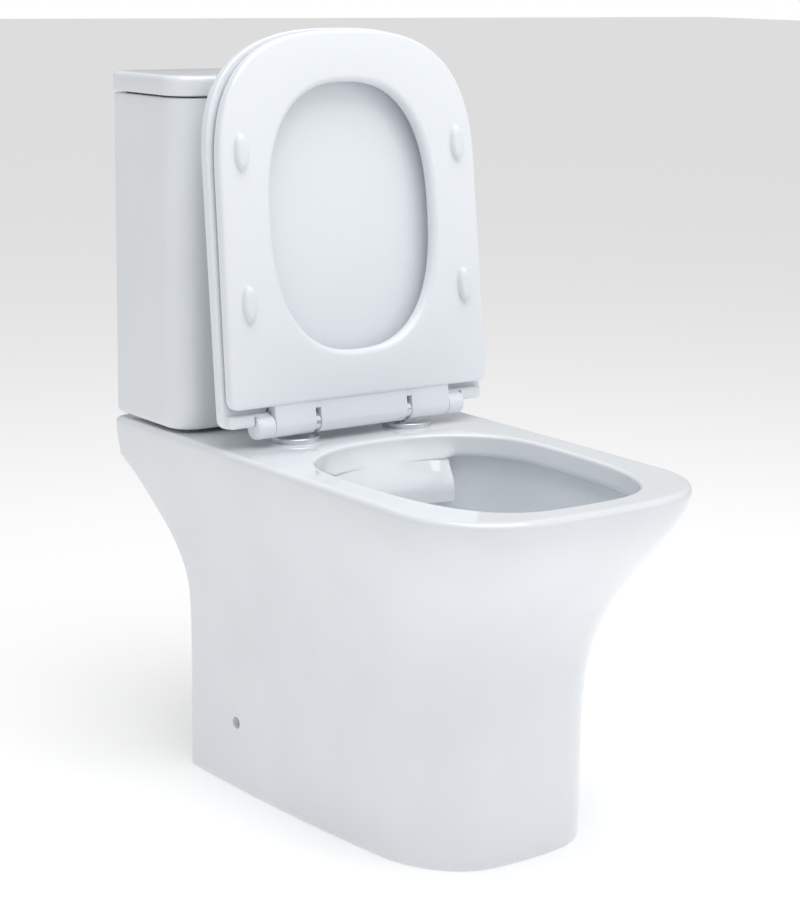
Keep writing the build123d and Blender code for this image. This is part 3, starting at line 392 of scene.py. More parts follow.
def pan_plan(z, inward=0.0):
    """The pan's outline at each height, drawn in by a distance."""
    z = np.atleast_1d(np.asarray(z, float))
    rise = np.clip((z - FLARE_START) / (RIM - FLARE_START), 0, 1)
    share = 0.5 * (1 + np.cos(np.pi * rise**FLARE_POWER))
    half = HALF - SIDE_INSET * share - inward
    front = FRONT + FRONT_INSET * share + inward
    rear = WALL - foot_back(z) - inward * smooth(z, APRON_TOP - 60, APRON_TOP)
    rear_corner = 1.0 + 9.0 * smooth(z, APRON_TOP - 50, APRON_TOP)
    front_corner = np.maximum(98.0 - 12.0 * share - inward, 20)
    return rounded_plan(half, rear, front, rear_corner, front_corner, FRONT_BOW, 4 + 29 * share)


def foot_back(z):
    """Distance of the skin's rear edge from the wall: none at the deck, then a curve in to the foot."""
    t = np.clip((APRON_TOP - z) / (APRON_TOP - 205.0), 0, 1)
    return FOOT_BACK * np.sin(t * np.pi / 2) ** 0.85


def raised(plan, z):
    """Adds the height to every row of a plan."""
    z = np.broadcast_to(column(z), plan.shape[:2])
    return np.concatenate([plan, z[..., None]], axis=-1)


# %% [markdown]
# ## The bowl
# The mouth of the bowl is an egg: a rounder rear end, a squarer front one. Under a lip of the rim the
# wall steps out to a ledge that carries the flush water, then falls to the trap. At the back, where the
# water comes in, the wall runs straight down from the lip, and the hood of the next step is drawn from it.

# %% The bowl's outlines
MOUTH_CENTRE = WALL - 394.0
MOUTH = (138.0, 113.0, 232.0)  # half width, reach to the rear, reach to the front
LIP = 25.0
HOOD_HALF = 88.0  # half the width over which the hood stands out
# height, half width, rear and front distance from the wall, down the bowl
BOWL = np.array(
    [
        (374, 149, 269, 637),
        (345, 146, 270, 614),
        (300, 137, 272, 581),
        (240, 116, 277, 540),
        (180, 89, 284, 486),
        (120, 61, 292, 418),
        (70, 42, 297, 374),
        (36, 32, 302, 360),
    ],
    float,
)


def through(knots, at):
    """A smooth curve through the knots of a table, by Catmull and Rom's rule, at fractional knot numbers."""
    knots = np.vstack([2 * knots[0] - knots[1], knots, 2 * knots[-1] - knots[-2]])
    i = np.clip(np.floor(at).astype(int), 0, len(knots) - 4)
    t = (at - i)[:, None]
    a, b, c, d = knots[i], knots[i + 1], knots[i + 2], knots[i + 3]
    return 0.5 * (2 * b + (c - a) * t + (2 * a - 5 * b + 4 * c - d) * t**2 + (3 * b - a - 3 * c + d) * t**3)


def egg(angle, half, rear_reach, front_reach, centre):
    """Superellipse with a rounder rear half than front half, at each angle from the middle of the back."""
    across, along = np.sin(angle)[None], np.cos(angle)[None]
    power = np.where(along > 0, 2.3, 3.2)
    reach = np.where(along > 0, column(rear_reach), column(front_reach))
    x = column(half) * np.sign(across) * np.abs(across) ** (2 / power)
    y = column(centre) + reach * np.sign(along) * np.abs(along) ** (2 / power)
    return np.stack([x, y], axis=-1)


def loop_fractions(loop):
    """How far round a closed loop each of its points lies, from 0 to 1."""
    step = np.linalg.norm(np.roll(loop, -1, axis=0) - loop, axis=1)
    return np.concatenate([[0], np.cumsum(step)[:-1]]) / step.sum()


rim_plan = pan_plan(RIM, RIM_EDGE)[0]
dense = np.linspace(0, 2 * np.pi, 4000, endpoint=False)
dense_share = loop_fractions(egg(dense, *MOUTH, MOUTH_CENTRE)[0])
mouth_angle = np.interp(loop_fractions(rim_plan), dense_share, dense)
print("columns round the pan:", len(mouth_angle))


def mouth(z, outward=0.0):
    """The mouth's outline at each height, grown by a distance."""
    o = np.broadcast_to(np.asarray(outward, float), np.shape(np.atleast_1d(z)))
    return raised(egg(mouth_angle, MOUTH[0] + o, MOUTH[1] + o, MOUTH[2] + o, MOUTH_CENTRE + 0 * o), z)


def bowl_wall(steps, outward=0.0):
    """Rows of the bowl from under the lip to its floor, grown by a distance for the outside of the wall."""
    level = through(BOWL, np.linspace(0, len(BOWL) - 1, steps))
    z, half, rear, front = level.T
    middle = rear + (front - rear) * MOUTH[1] / (MOUTH[1] + MOUTH[2])
    rows = raised(
        egg(mouth_angle, half + outward, middle - rear + outward, front - middle + outward, WALL - middle), z
    )
    if outward == 0:
        # behind the hood the wall stays in line with the lip
        near = 1 - smooth(np.abs(rows[..., 0]), HOOD_HALF - 10, HOOD_HALF + 8)
        behind = near * (rows[..., 1] > MOUTH_CENTRE) * smooth(rows[..., 2], 200, 290)
        limit = mouth(RIM)[0][:, 1][None]
        y = rows[..., 1]
        rows[..., 1] = np.where(y > limit, y + behind * (limit - y), y)
    return rows


def toward(first, last, steps):
    """Rows evenly between two rows, without the first one."""
    t = np.linspace(0, 1, steps + 1)[1:, None, None]
    return first[None] + t * (last - first)[None]


def to_pole(row, height, steps=5):
    """Rows that close a loop over its middle at a height."""
    middle = row.mean(axis=0) * (1, 1, 0) + (0, 0, height)
    t = np.linspace(0, 1, steps + 1)[1:, None, None]
    return row[None] * (1 - t) + middle * t + (0, 0, 1) * (height - row[None, :, 2:]) * (t ** 0.5 - t)


# %% [markdown]
# ## One skin from floor to bowl
# Slip cast china is a sheet of nearly even thickness. Its outer side climbs over the rim and down into the
# bowl; its inner side follows within the hollow. The lower back is open, so these two skins start at the
# deck's back face, and the skirt below them is made in the next step.
#
# A hood at the back of the bowl covers the place where the flush water comes in. It is the wall itself,
# drawn forward: with d the drop below the rim, it grows as a smooth S from d = 2 to d = 60, ends between
# d = 72 and d = 80, and fades out at its two sides.

# %% The pan's skin
arc = np.linspace(0, np.pi / 2, 7)
upper = np.linspace(APRON_TOP + EDGE, RIM - RIM_EDGE, 14)[:-1]
skin = raised(pan_plan(upper), upper)
edge_z, edge_in = RIM - RIM_EDGE + RIM_EDGE * np.sin(arc), RIM_EDGE * (1 - np.cos(arc))
edge = np.concatenate([raised(pan_plan(RIM - RIM_EDGE + 0 * z, i), z) for z, i in zip(edge_z, edge_in)])
lip_edge = mouth(RIM - 4 + 4 * np.cos(arc), 4 - 4 * np.sin(arc))
HOOD_REACH = 27.0
LEDGE_RUN = 12.0  # the lip's underside steps out to the wall in shares of this distance


def hood(rows):
    """Draws the back of the bowl forward into the hood: a slope down from the lip, a short underside."""
    drop = RIM - rows[..., 2]
    side = 1 - smooth(np.abs(rows[..., 0]), HOOD_HALF - 14, HOOD_HALF + 8)
    rise = smooth(drop, 2, 60) * (1 - smooth(drop, 72, 80))
    rows[..., 1] -= HOOD_REACH * side * rise * (rows[..., 1] > MOUTH_CENTRE)
    return rows


lip_wall = hood(mouth(np.linspace(RIM - 5, RIM - LIP + 4, 8)))
bowl_rows = hood(bowl_wall(110))
ledge = np.linalg.norm((bowl_rows[0] - lip_wall[-1])[:, :2], axis=1)
share_of_ledge = np.clip(ledge / LEDGE_RUN, 0, 1)[:, None]
under = []
for outward, drop in ((0.8, 3.0), (3.0, 4.6), (8.0, 5.0)):
    row = hood(mouth(RIM - LIP + 4 - drop))[0]
    row[:, :2] += share_of_ledge * (bowl_rows[0] - row)[:, :2] * outward / LEDGE_RUN
    under.append(row)
outer = np.concatenate(
    [
        skin,
        edge,
        toward(edge[-1], lip_edge[0], 14),
        lip_edge[1:],
        lip_wall,
        np.stack(under),
        bowl_rows,
        to_pole(bowl_rows[-1], BOWL[-1, 0] - 9),
    ]
)

inner_z = np.linspace(APRON_TOP + EDGE, RIM - CHINA - 8, 10)
inner_skin = raised(pan_plan(inner_z, CHINA), inner_z)
corner = np.concatenate(
    [
        raised(pan_plan(RIM - CHINA - 8, CHINA + 8 * (1 - np.cos(a))), RIM - CHINA - 8 + 8 * np.sin(a))
        for a in arc[1:]
    ]
)
outside = bowl_wall(36, 10.0)
inner = np.concatenate(
    [
        inner_skin,
        corner,
        toward(corner[-1], outside[0] + (0, 0, RIM - CHINA - outside[0, 0, 2]), 12),
        outside,
        to_pole(outside[-1], BOWL[-1, 0] - 20),
    ]
)
print("rows of the outer skin:", len(outer), "and of the inner one:", len(inner))

# %% [markdown]
# The skirt below the deck leaves out the columns of the back. Its edge and the inner skirt's edge are
# joined by one rounded strip that runs down one back edge, along the floor, up the other and across the
# back face.

# %% The skirt and the rounded edge strip
open_back = PAN_COUNTS[0] + PAN_COUNTS[1]
total = len(mouth_angle)
kept = np.arange(open_back, total - open_back + 1)
shut = np.concatenate([np.arange(total - open_back, total), np.arange(0, open_back + 1)])
skirt_z = np.concatenate([np.linspace(EDGE, 200, 18)[:-1], np.linspace(200, APRON_TOP + EDGE, 26)])
skirt_outer = raised(pan_plan(skirt_z), skirt_z)[:, kept]
skirt_inner = raised(pan_plan(skirt_z, CHINA), skirt_z)[:, kept]


def boundary(skirt, top_row):
    """The open edge as one loop: down one back edge, along the floor, up the other, across the back."""
    return np.concatenate([skirt[::-1, 0], skirt[0, 1:], skirt[1:, -1], top_row[shut][1:-1]])


edge_outer, edge_inner = boundary(skirt_outer, outer[0]), boundary(skirt_inner, inner[0])
along = np.roll(edge_outer, -1, axis=0) - np.roll(edge_outer, 1, axis=0)
down = np.tile((0.0, 0.0, -1.0), (len(edge_outer), 1))
rows_down, rows_floor = len(skirt_z), len(kept) - 1
for part in (slice(1, rows_down - 1), slice(rows_down + rows_floor + 1, 2 * rows_down + rows_floor - 2)):
    slope = along[part]
    facing = np.stack([0 * slope[:, 0], np.abs(slope[:, 2]), -np.abs(slope[:, 1])], axis=1)
    down[part] = facing / np.linalg.norm(facing, axis=1, keepdims=True)
for _ in range(2):
    down = np.roll(down, 1, axis=0) + 2 * down + np.roll(down, -1, axis=0)
    down /= np.linalg.norm(down, axis=1, keepdims=True)
across = np.linspace(0, 1, 9)
bulge = (1 - np.abs(2 * across - 1) ** 2.6) ** (1 / 2.6)
strip = (
    edge_outer[None] * (1 - across)[:, None, None]
    + edge_inner[None] * across[:, None, None]
    + down[None] * (EDGE * bulge)[:, None, None]
)
pan_mesh = as_mesh("pan", [outer, inner, (skirt_outer, False), (skirt_inner, False), strip], smooth_angle=60)
edge_keys = np.array([key for face in pan_mesh.polygons for key in face.edge_keys])
_, uses = np.unique(edge_keys, axis=0, return_counts=True)
print("edges of the pan's skin that aren't shared by two faces:", int((uses != 2).sum()))

# %% [markdown]
# ## Bores
# The open skin gets its holes last: one through each side of the foot for the floor fixings, those in the
# deck for the cistern and the seat, the throat of the trap and the slot where the flush water comes in.
# An exact Boolean keeps the glaze smooth around each hole.

# %% Carve the pan
TANK_Y = WALL - 76.0
FILL_X = -125.0
INLET = (FILL_X, TANK_Y)
SEAT_BOLTS = [(-77.5, WALL - 226.0), (77.5, WALL - 226.0)]
TANK_BOLTS = [(-75.0, TANK_Y), (75.0, TANK_Y)]
THROAT_Z, THROAT = 66.0, 32.0
FOOT_HOLE, FOOT_HOLE_Z = 7.0, 78.0
SEAT_HOLE, BOLT_HOLE = 7.0, 6.0
INLET_HOLE, FLUSH_HOLE = 21.0, 47.0
SLOT_LOW = (-70, WALL - 280, 306)
SLOT_HIGH = (70, WALL - 262, 364)


def rounded_box(low, high, radius, steps=5, count=10):
    """A box with rounded edges: each point of its grid is drawn in and pushed out along a sphere."""
    low, high = np.asarray(low, float), np.asarray(high, float)
    half, middle = (high - low) / 2, (high + low) / 2
    grids = []
    for axis in range(3):
        others = [i for i in range(3) if i != axis]
        for sign in (-1, 1):
            lines = []
            for i in others:
                curve = radius * (1 - np.cos(np.linspace(0, np.pi / 2, steps)))[:-1]
                inner = np.linspace(-half[i] + radius, half[i] - radius, count)
                lines.append(np.concatenate([-half[i] + curve, inner, half[i] - curve[::-1]]))
            first, second = np.meshgrid(*lines, indexing="ij")
            grid = np.zeros((*first.shape, 3))
            grid[..., others[0]], grid[..., others[1]], grid[..., axis] = first, second, sign * half[axis]
            core = np.clip(grid, -(half - radius), half - radius)
            away = grid - core
            length = np.maximum(np.linalg.norm(away, axis=-1, keepdims=True), 1e-9)
            grids.append((core + away / length * radius + middle, False))
    return grids


def deck_bore(radius, place):
    """A cutter for a hole straight down through the deck."""
    return drill(radius, (*place, RIM - 20), (0, 0, 1), 30)


cutters = [drill(FOOT_HOLE, (side * 100, WALL - 212, FOOT_HOLE_Z), (side, 0, 0), 60) for side in (-1, 1)]
cutters += [deck_bore(SEAT_HOLE, place) for place in SEAT_BOLTS]
cutters += [deck_bore(BOLT_HOLE, place) for place in TANK_BOLTS]
cutters += [deck_bore(INLET_HOLE, INLET), deck_bore(FLUSH_HOLE, (0, TANK_Y))]
cutters += [drill(THROAT, (0, WALL - 330, THROAT_Z), (0, 1, 0), 44)]
cutters += [as_mesh("slot", rounded_box(SLOT_LOW, SLOT_HIGH, 3))]
pan_skin = finish_mesh(carve(pan_mesh, cutters), 50)
add_piece("pan_body", pan_skin, "root", china, PAN_NODES)

# %% [markdown]
# ## The trap, the outlet and the flush duct
# The trap is a pipe swept along a line that rises behind the bowl and turns back to the wall. The outlet is
# turned round its own middle line, and the duct that brings the flush water forward is a hollow box.

# %% Trap, spigot and duct
OUTLET_Z, OUTLET_START = 180.0, WALL - 132.0
TRAP_WALL, TRAP_BEND = 9.0, 46.0


def even(line, count):
    """An open line sampled again at evenly spaced points along its length."""
    step = np.linalg.norm(np.diff(line, axis=0), axis=1)
    length = np.concatenate([[0], np.cumsum(step)])
    at = np.linspace(0, length[-1], count)
    return np.stack([np.interp(at, length, line[:, i]) for i in range(line.shape[1])], axis=1)


def pipe(route, outside, inside, count=56):
    """A pipe along a flat route of (y, z) points: outside, one end, inside and other end as one grid."""
    tangent = np.gradient(route, axis=0)
    tangent /= np.linalg.norm(tangent, axis=1, keepdims=True)
    normal = np.stack([-tangent[:, 1], tangent[:, 0]], axis=1)
    turn = np.linspace(0, 2 * np.pi, count, endpoint=False)
    rings = []
    for radius in (outside, inside):
        radius = np.broadcast_to(radius, len(route))[:, None]
        ring = np.zeros((len(route), count, 3))
        ring[..., 0] = radius * np.sin(turn)
        ring[..., 1:] = route[:, None] + (radius * np.cos(turn))[..., None] * normal[:, None]
        rings.append(ring)
    return np.concatenate([rings[0], rings[1][::-1], rings[0][:1]])


bends = np.array(
    [
        (WALL - 292, THROAT_Z),
        (WALL - 276, THROAT_Z),
        (WALL - 214, 190),
        (WALL - 166, OUTLET_Z),
        (WALL - 134, OUTLET_Z),
    ],
    float,
)
route = even(rounded(bends, TRAP_BEND, 12), 60)
trap = as_mesh("pan_trap", [pipe(route, THROAT + TRAP_WALL, THROAT)])
add_piece("pan_trap", trap, "root", china)

# (radius, distance) round the spigot's section: shoulder, outside, rounded lip, bore and back to the trap
shoulder = [(40, -6), (47, -4), (50, -1), (51, 3)]
lip = [(51, 56), (50, 59), (47.5, 60), (44, 60), (42, 58)]
bore = [(42, 6), (34, 2), (32, -6), (40, -6)]
spigot = rounded(np.array(shoulder + lip + bore), 1.2, 3)
spigot_grid = lathe(spigot, (0, OUTLET_START, OUTLET_Z), (0, 1, 0), 72)
add_piece("pan_spigot", as_mesh("pan_spigot", [spigot_grid], smooth_angle=50), "root", china)

duct = as_mesh("pan_duct", rounded_box((-56, WALL - 266, 338), (56, WALL - 20, 389.5), 6))
hollow = as_mesh("duct_hollow", rounded_box((-48, WALL - 300, 348), (48, WALL - 30, 396), 4))
add_piece("pan_duct", finish_mesh(carve(duct, [hollow]), 50), "root", china)

# %% [markdown]
# ## The cistern and its lid
# The tank and its lid share one plan: a flat back, straight sides and soft front corners. A row of the
# grid is that plan drawn in or out, so a closed profile of (draw, height) pairs makes the whole shell,
# from the middle of its underside to the middle of its floor.

# %% Tank and lid
tank_low, tank_high = millimetres("cistern_tank")
lid_low, lid_high = millimetres("cistern_lid")
TANK_HALF, TANK_BOW = tank_high[0], 4.0
TANK_WALL, TANK_FLOOR = 9.0, 9.0
VALVE_HOLE, TAIL_HOLE, BUTTON_HOLE = 32.0, 11.0, 21.0
TANK_BOLT_HOLE, WALL_SCREW_HOLE = 4.2, 4.5
WALL_SCREW_X, WALL_SCREW_Z = 130.0, 700.0
TANK_COUNTS = (30, 10, 34, 26, 34)


def tank_shell(profile):
    """Rows of the cistern's plan for a profile of (outward, height) pairs, closed at both middles."""
    outward, z = np.asarray(profile, float).T
    plan = rounded_plan(
        TANK_HALF + outward,
        tank_high[1] + np.minimum(outward, 0),
        tank_low[1] - outward,
        np.maximum(10 + outward, 3),
        np.maximum(34 + outward, 8),
        TANK_BOW,
        taper=0.0,
        power=2.15,
        counts=TANK_COUNTS,
    )
    rows = raised(plan, z)
    return np.concatenate([to_pole(rows[0], z[0], 12)[::-1], rows, to_pole(rows[-1], z[-1], 12)])


def floor_bore(radius, place):
    """A cutter for a hole straight up through the tank's floor."""
    return drill(radius, (*place, bottom - 5), (0, 0, 1), 30)


bottom, top = tank_low[2], tank_high[2]
outside_corners = [(-30, bottom), (0, bottom), (0, top)]
inside_corners = [(-TANK_WALL, top), (-TANK_WALL, bottom + TANK_FLOOR), (-40, bottom + TANK_FLOOR)]
profile = rounded(outside_corners + inside_corners, (0, 8, 2.5, 2.5, 8, 0), 8)
cutters = [floor_bore(VALVE_HOLE, (0, TANK_Y)), floor_bore(TAIL_HOLE, INLET)]
cutters += [floor_bore(TANK_BOLT_HOLE, place) for place in TANK_BOLTS]
for side in (-1, 1):
    start = (side * WALL_SCREW_X, tank_high[1] - 15, WALL_SCREW_Z)
    cutters.append(drill(WALL_SCREW_HOLE, start, (0, 1, 0), 30))
tank_mesh = carve(as_mesh("cistern_tank", [tank_shell(profile)]), cutters)
add_piece("cistern_body", finish_mesh(tank_mesh, 50), "root", china, ["cistern_tank"])

lid_base, lid_top = lid_low[2] + 12, lid_high[2]
profile = rounded(
    [(-30, lid_top - 9), (-19, lid_top - 9), (-19, lid_low[2]), (-12, lid_low[2])]
    + [(-12, lid_base), (2, lid_base), (1.6, lid_top), (-60, lid_top)],
    (0, 3, 1.5, 1.5, 2, 2.5, 7, 0),
    8,
)
button_bore = drill(BUTTON_HOLE, (0, TANK_Y, 760), (0, 0, 1), 60)
lid_mesh = carve(as_mesh("cistern_lid", [tank_shell(profile)]), [button_bore])
add_piece("cistern_cover", finish_mesh(lid_mesh, 50), "lid", china, ["cistern_lid"])

# %% [markdown]
# ## Seat and cover in their own frame
# Seat and cover stand open and lean back a little past upright. They are worked out lying in the plane of
# the seat: across, out from the hinge line, and forwards from it. One function stands them up.

# %% The hinge line and outlines
HINGE = np.array(joints["cover_hinge"]["pos_m"]) * 1000
LEAN = math.radians(6.5)
OUT = np.array((0, math.sin(LEAN), math.cos(LEAN)))
FORWARD = np.array((0, -math.cos(LEAN), math.sin(LEAN)))
SEAT_FACES = (-2.0, 15.0)
COVER_FACES = (-20.0, -3.0)


def stand(flat, forward):
    """Places (across, out) points at a distance forwards from the hinge line, in the raised position."""
    forward = np.broadcast_to(np.asarray(forward, float), flat.shape[:-1])[..., None]
    return HINGE + flat[..., :1] * (1, 0, 0) + flat[..., 1:2] * OUT + forward * FORWARD


def cornered(corners, radii, fills, steps=7):
    """A line through corners rounded by arcs, with a number of extra points on the straight after each."""
    line = [np.asarray(corners[0], float)[None]]
    corners = np.asarray(corners, float)
    for i in range(1, len(corners) - 1):
        back, ahead = corners[i - 1] - corners[i], corners[i + 1] - corners[i]
        start = corners[i] + back / np.linalg.norm(back) * radii[i - 1]
        end = corners[i] + ahead / np.linalg.norm(ahead) * radii[i - 1]
        t = np.linspace(0, np.pi / 2, steps)[:, None]
        curve = corners[i] + (start - corners[i]) * (1 - np.sin(t)) + (end - corners[i]) * (1 - np.cos(t))
        gap = np.linspace(0, 1, fills[i - 1] + 2)[1:-1, None]
        line += [line[-1][-1] + gap * (start - line[-1][-1]), curve]
    gap = np.linspace(0, 1, fills[-1] + 2)[1:, None]
    return np.concatenate([*line, line[-1][-1] + gap * (corners[-1] - line[-1][-1])])


def half_end(half, start, length, power, count=56):
    """Right half of the rounded end: a superellipse quarter, sampled evenly, from the side to the tip."""
    a = np.linspace(0, np.pi / 2, 900)
    line = np.stack([half * np.cos(a) ** (2 / power), start + length * np.sin(a) ** (2 / power)], axis=1)
    return even(line, count)


def close_loop(right):
    """A closed loop from its right half, which starts and ends on the middle line."""
    return np.concatenate([right, right[-2:0:-1] * (-1, 1)])


def seat_outline(inset):
    """The ring's outside, drawn in: straight rear edge, soft rear corners, narrowing sides, round end."""
    half, front, reach = 175.0 - inset, 172.0 - inset, 425.0 - inset
    end = half_end(front, 255.0, reach - 255.0, 2.85)
    rear = 22.0 + inset
    side = cornered([(0, rear), (half, rear), end[0]], [11 - 0.5 * inset], [16, 30])
    return close_loop(np.concatenate([side, end[1:]]))


def seat_mouth(outset, like):
    """The ring's opening, grown: an oval sampled at the same fractions as the outline."""
    a = np.linspace(0, 2 * np.pi, 4000, endpoint=False)
    across = np.sign(np.sin(a)) * np.abs(np.sin(a)) ** 0.8
    along = -np.sign(np.cos(a)) * np.abs(np.cos(a)) ** 0.8
    oval = np.stack([(109.0 + outset) * across, 221.5 + (147.5 + outset) * along], axis=1)
    share = np.append(loop_fractions(oval), 1)
    oval = np.vstack([oval, oval[:1]])
    at = loop_fractions(like)
    return np.stack([np.interp(at, share, oval[:, i]) for i in range(2)], axis=1)


# %% [markdown]
# The ring is a rounded section carried round between two outlines. Each edge of the section is a quarter
# ellipse; the lip at the opening is fuller, as a seat's lip is where it is sat on.

# %% Seat ring
def ring_surface(outline, opening, faces, radii, steps=8):
    """Rows of a ring: up its outer edge, over the front face, down its opening and back over the rear."""
    low, high = faces
    t = np.linspace(0, np.pi / 2, steps)
    rows = []
    for maker, sign, edges in (
        (outline, 1, ((low, radii[0], 1), (high, radii[1], -1))),
        (opening, -1, ((high, radii[2], 1), (low, radii[3], -1))),
    ):
        for face, radius, turn in edges:
            angles = t if turn == 1 else t[::-1]
            inward = radius * (1 - np.sin(angles))
            toward_middle = 1 if face == low else -1
            depth = face + toward_middle * radius * (1 - np.cos(angles))
            rows += [stand(maker(i), d) for i, d in zip(inward, depth)]
    rows.append(rows[0])
    return np.stack(rows)


# rounding of the ring: outer rear and outer front edge, then the front and rear edge of the opening
SEAT_RADII = (6.5, 4.0, 7.0, 6.0)
reference = seat_outline(0.0)
ring = ring_surface(seat_outline, lambda grown: seat_mouth(grown, reference), SEAT_FACES, SEAT_RADII)
seat_ring_mesh = as_mesh("seat_ring", [ring], smooth_angle=50)


def extrude_along_hinge(section, start, stop, bevel=0.8):
    """A closed (out, forward) section carried along the hinge line, with small bevels and flat ends."""
    middle = section.mean(axis=0)
    spread = np.abs(section - middle).max()
    shrink = 1 - bevel / spread
    near_end = [(start, 0.0), (start, shrink), (start + bevel, 1.0)]
    far_end = [(stop - bevel, 1.0), (stop, shrink), (stop, 0.0)]
    rows = []
    for x, scale in near_end + far_end:
        flat = middle + (section - middle) * scale
        rows.append(HINGE + x * np.array((1, 0, 0)) + flat[:, :1] * OUT + flat[:, 1:] * FORWARD)
    return np.stack(rows)


BAR = 13.5  # radius of the round bar on the hinge line
POST_X, POST_GAP = 62.5, 3.6  # the bar stops this far to either side of each post
BAR_END = 118.7
WEB_OUT = 33.0  # how far the web between bar and ring reaches out
sweep_angle = np.radians(np.linspace(-6.4, -270, 44))
bar_arc = BAR * np.stack([np.cos(sweep_angle), np.sin(sweep_angle)], axis=1)
web_corners = [(0.0, BAR), (WEB_OUT, BAR - 1.0), (WEB_OUT, -1.5), (13.4, -1.5)]
web = cornered(web_corners, [2.0, 2.0], [3, 3, 3])
keyhole = np.concatenate([bar_arc, web[1:-1]])
bridge_corners = [(24, 12.4), (WEB_OUT, 12.4), (WEB_OUT, -1.4), (14.6, -1.4), (14.6, 12.4), (24, 12.4)]
bridge = cornered(bridge_corners, [1.5] * 4, [2] * 5)[:-1]
bars = [
    extrude_along_hinge(keyhole, -BAR_END, -POST_X - POST_GAP),
    extrude_along_hinge(keyhole, -POST_X + POST_GAP, POST_X - POST_GAP),
    extrude_along_hinge(keyhole, POST_X + POST_GAP, BAR_END),
    extrude_along_hinge(bridge, -POST_X - POST_GAP - 2, -POST_X + POST_GAP + 2, 0.2),
    extrude_along_hinge(bridge, POST_X - POST_GAP - 2, POST_X + POST_GAP + 2, 0.2),
]
add_piece("seat_ring", seat_ring_mesh, "seat", duroplast, ["seat"])
add_piece("seat_bar", as_mesh("seat_bar", bars), "seat", duroplast)

# %% [markdown]
# The cover is a shallow tray: an even outer skin with a rounded edge, a border, and a recess inside it.
# Its rear corners reach down past the seat's bar and carry the knuckles of the hinge.

# %% Cover
KNUCKLE = (119.3, 138.0)  # where each knuckle starts and ends, from the middle


def cover_outline(inset):
    """The cover's outline, drawn in: notched between its two arms, straight sides and a round end."""
    half, front, reach = 177.5 - inset, 176.0 - inset, 428.5 - inset
    end = half_end(front, 278.5, reach - 278.5, 2.7)
    notch = KNUCKLE[0] + inset
    corners = [(0, 17 + inset), (notch, 17 + inset), (notch, 1 + inset), (half, 1 + inset), end[0]]
    line = cornered(corners, [3 + inset * 0.5, max(6 - inset, 1), max(11 - inset, 4)], [14, 2, 5, 30])
    return close_loop(np.concatenate([line, end[1:]]))


def recess_outline(inset, like):
    """The outline of the tray's recess, sampled at the same fractions as the cover's own outline."""
    end = half_end(164.0 - inset, 278.5, 138.0 - inset, 2.6)
    line = cornered([(0, 29 + inset), (165.5 - inset, 29 + inset), end[0]], [10], [14, 30])
    loop = close_loop(np.concatenate([line, end[1:]]))
    share = np.append(loop_fractions(loop), 1)
    loop = np.vstack([loop, loop[:1]])
    return np.stack([np.interp(loop_fractions(like), share, loop[:, i]) for i in range(2)], axis=1)


OUTER_ROUND, RIM_ROUND, BORDER_ROUND, FLOOR_ROUND = 7.0, 2.0, 3.0, 4.0
TRAY_WALL = 6.0  # thickness of the tray's floor
back_face, rim_face = COVER_FACES
plain = cover_outline(0)
rows = []
quarter = np.linspace(0, np.pi / 2, 8)
for a in quarter:
    outer_edge = cover_outline(OUTER_ROUND * (1 - np.sin(a)))
    rows.append(stand(outer_edge, back_face + OUTER_ROUND * (1 - np.cos(a))))
for a in quarter:
    rim_edge = cover_outline(RIM_ROUND * (1 - np.cos(a)))
    rows.append(stand(rim_edge, rim_face - RIM_ROUND * (1 - np.sin(a))))
for a in quarter[::3]:
    border = recess_outline(BORDER_ROUND * (1 - np.cos(a)) - BORDER_ROUND, plain)
    rows.append(stand(border, rim_face - BORDER_ROUND * (1 - np.cos(a))))
for a in quarter[::3]:
    tray_floor = recess_outline(FLOOR_ROUND * np.sin(a), plain)
    rows.append(stand(tray_floor, back_face + TRAY_WALL + FLOOR_ROUND * (1 - np.sin(a))))
rows = np.stack(rows)


def flat_pole(row, steps=10):
    """Rows that shrink a flat loop to its middle, and so close a flat face."""
    scale = np.linspace(1, 0, steps + 1)[1:, None, None]
    middle = row.mean(axis=0)
    return middle + (row - middle)[None] * scale


# the outer face first closes onto a plain loop, because the notched outline can't shrink without folding
plain_back = stand(recess_outline(8, plain), back_face)
outer_face = toward(rows[0], plain_back, 3)
tray = np.concatenate([flat_pole(plain_back)[::-1], outer_face[::-1], rows, flat_pole(rows[-1])])
tray_mesh = as_mesh("cover_tray", [tray], smooth_angle=50)
add_piece("cover_tray", tray_mesh, "cover", duroplast, ["cover"])


def cover_arm(side):
    """The arm that comes forward from a rear corner of the cover, and the knuckle on the hinge line."""
    block = rounded_box((0, 0, 0), (172 - KNUCKLE[0], 15, 24), 5)
    local = []
    for grid, wraps in block:
        flat = np.stack([side * (KNUCKLE[0] + 0.2 + grid[..., 0]), 1.0 + grid[..., 1]], axis=-1)
        local.append((stand(flat, -18.0 + grid[..., 2]), wraps))
    arm = as_mesh("arm", local)
    clear = drill(BAR + 0.3, HINGE + np.array((side * (KNUCKLE[1] - 0.2), 0, 0)), (side, 0, 0), 4.2)
    arm = finish_mesh(carve(arm, [clear]), 50)
    length = KNUCKLE[1] - KNUCKLE[0]
    profile = rounded([(0, 0), (BAR, 0), (BAR, length), (0, length)], 0.8, 4)
    start = HINGE + np.array((side * KNUCKLE[0], 0, 0))
    return arm, as_mesh("knuckle", [lathe(profile, start, (side, 0, 0), 56)])


for side, name in ((-1, "left"), (1, "right")):
    for mesh, part in zip(cover_arm(side), ("arm", "knuckle")):
        add_piece(f"cover_{part}_{name}", mesh, "cover", duroplast)

# %% [markdown]
# The seat rests on four soft oval pads. Each is a low dome: an oval drawn in towards its middle while it
# rises, fast at its foot and slowly at its top.

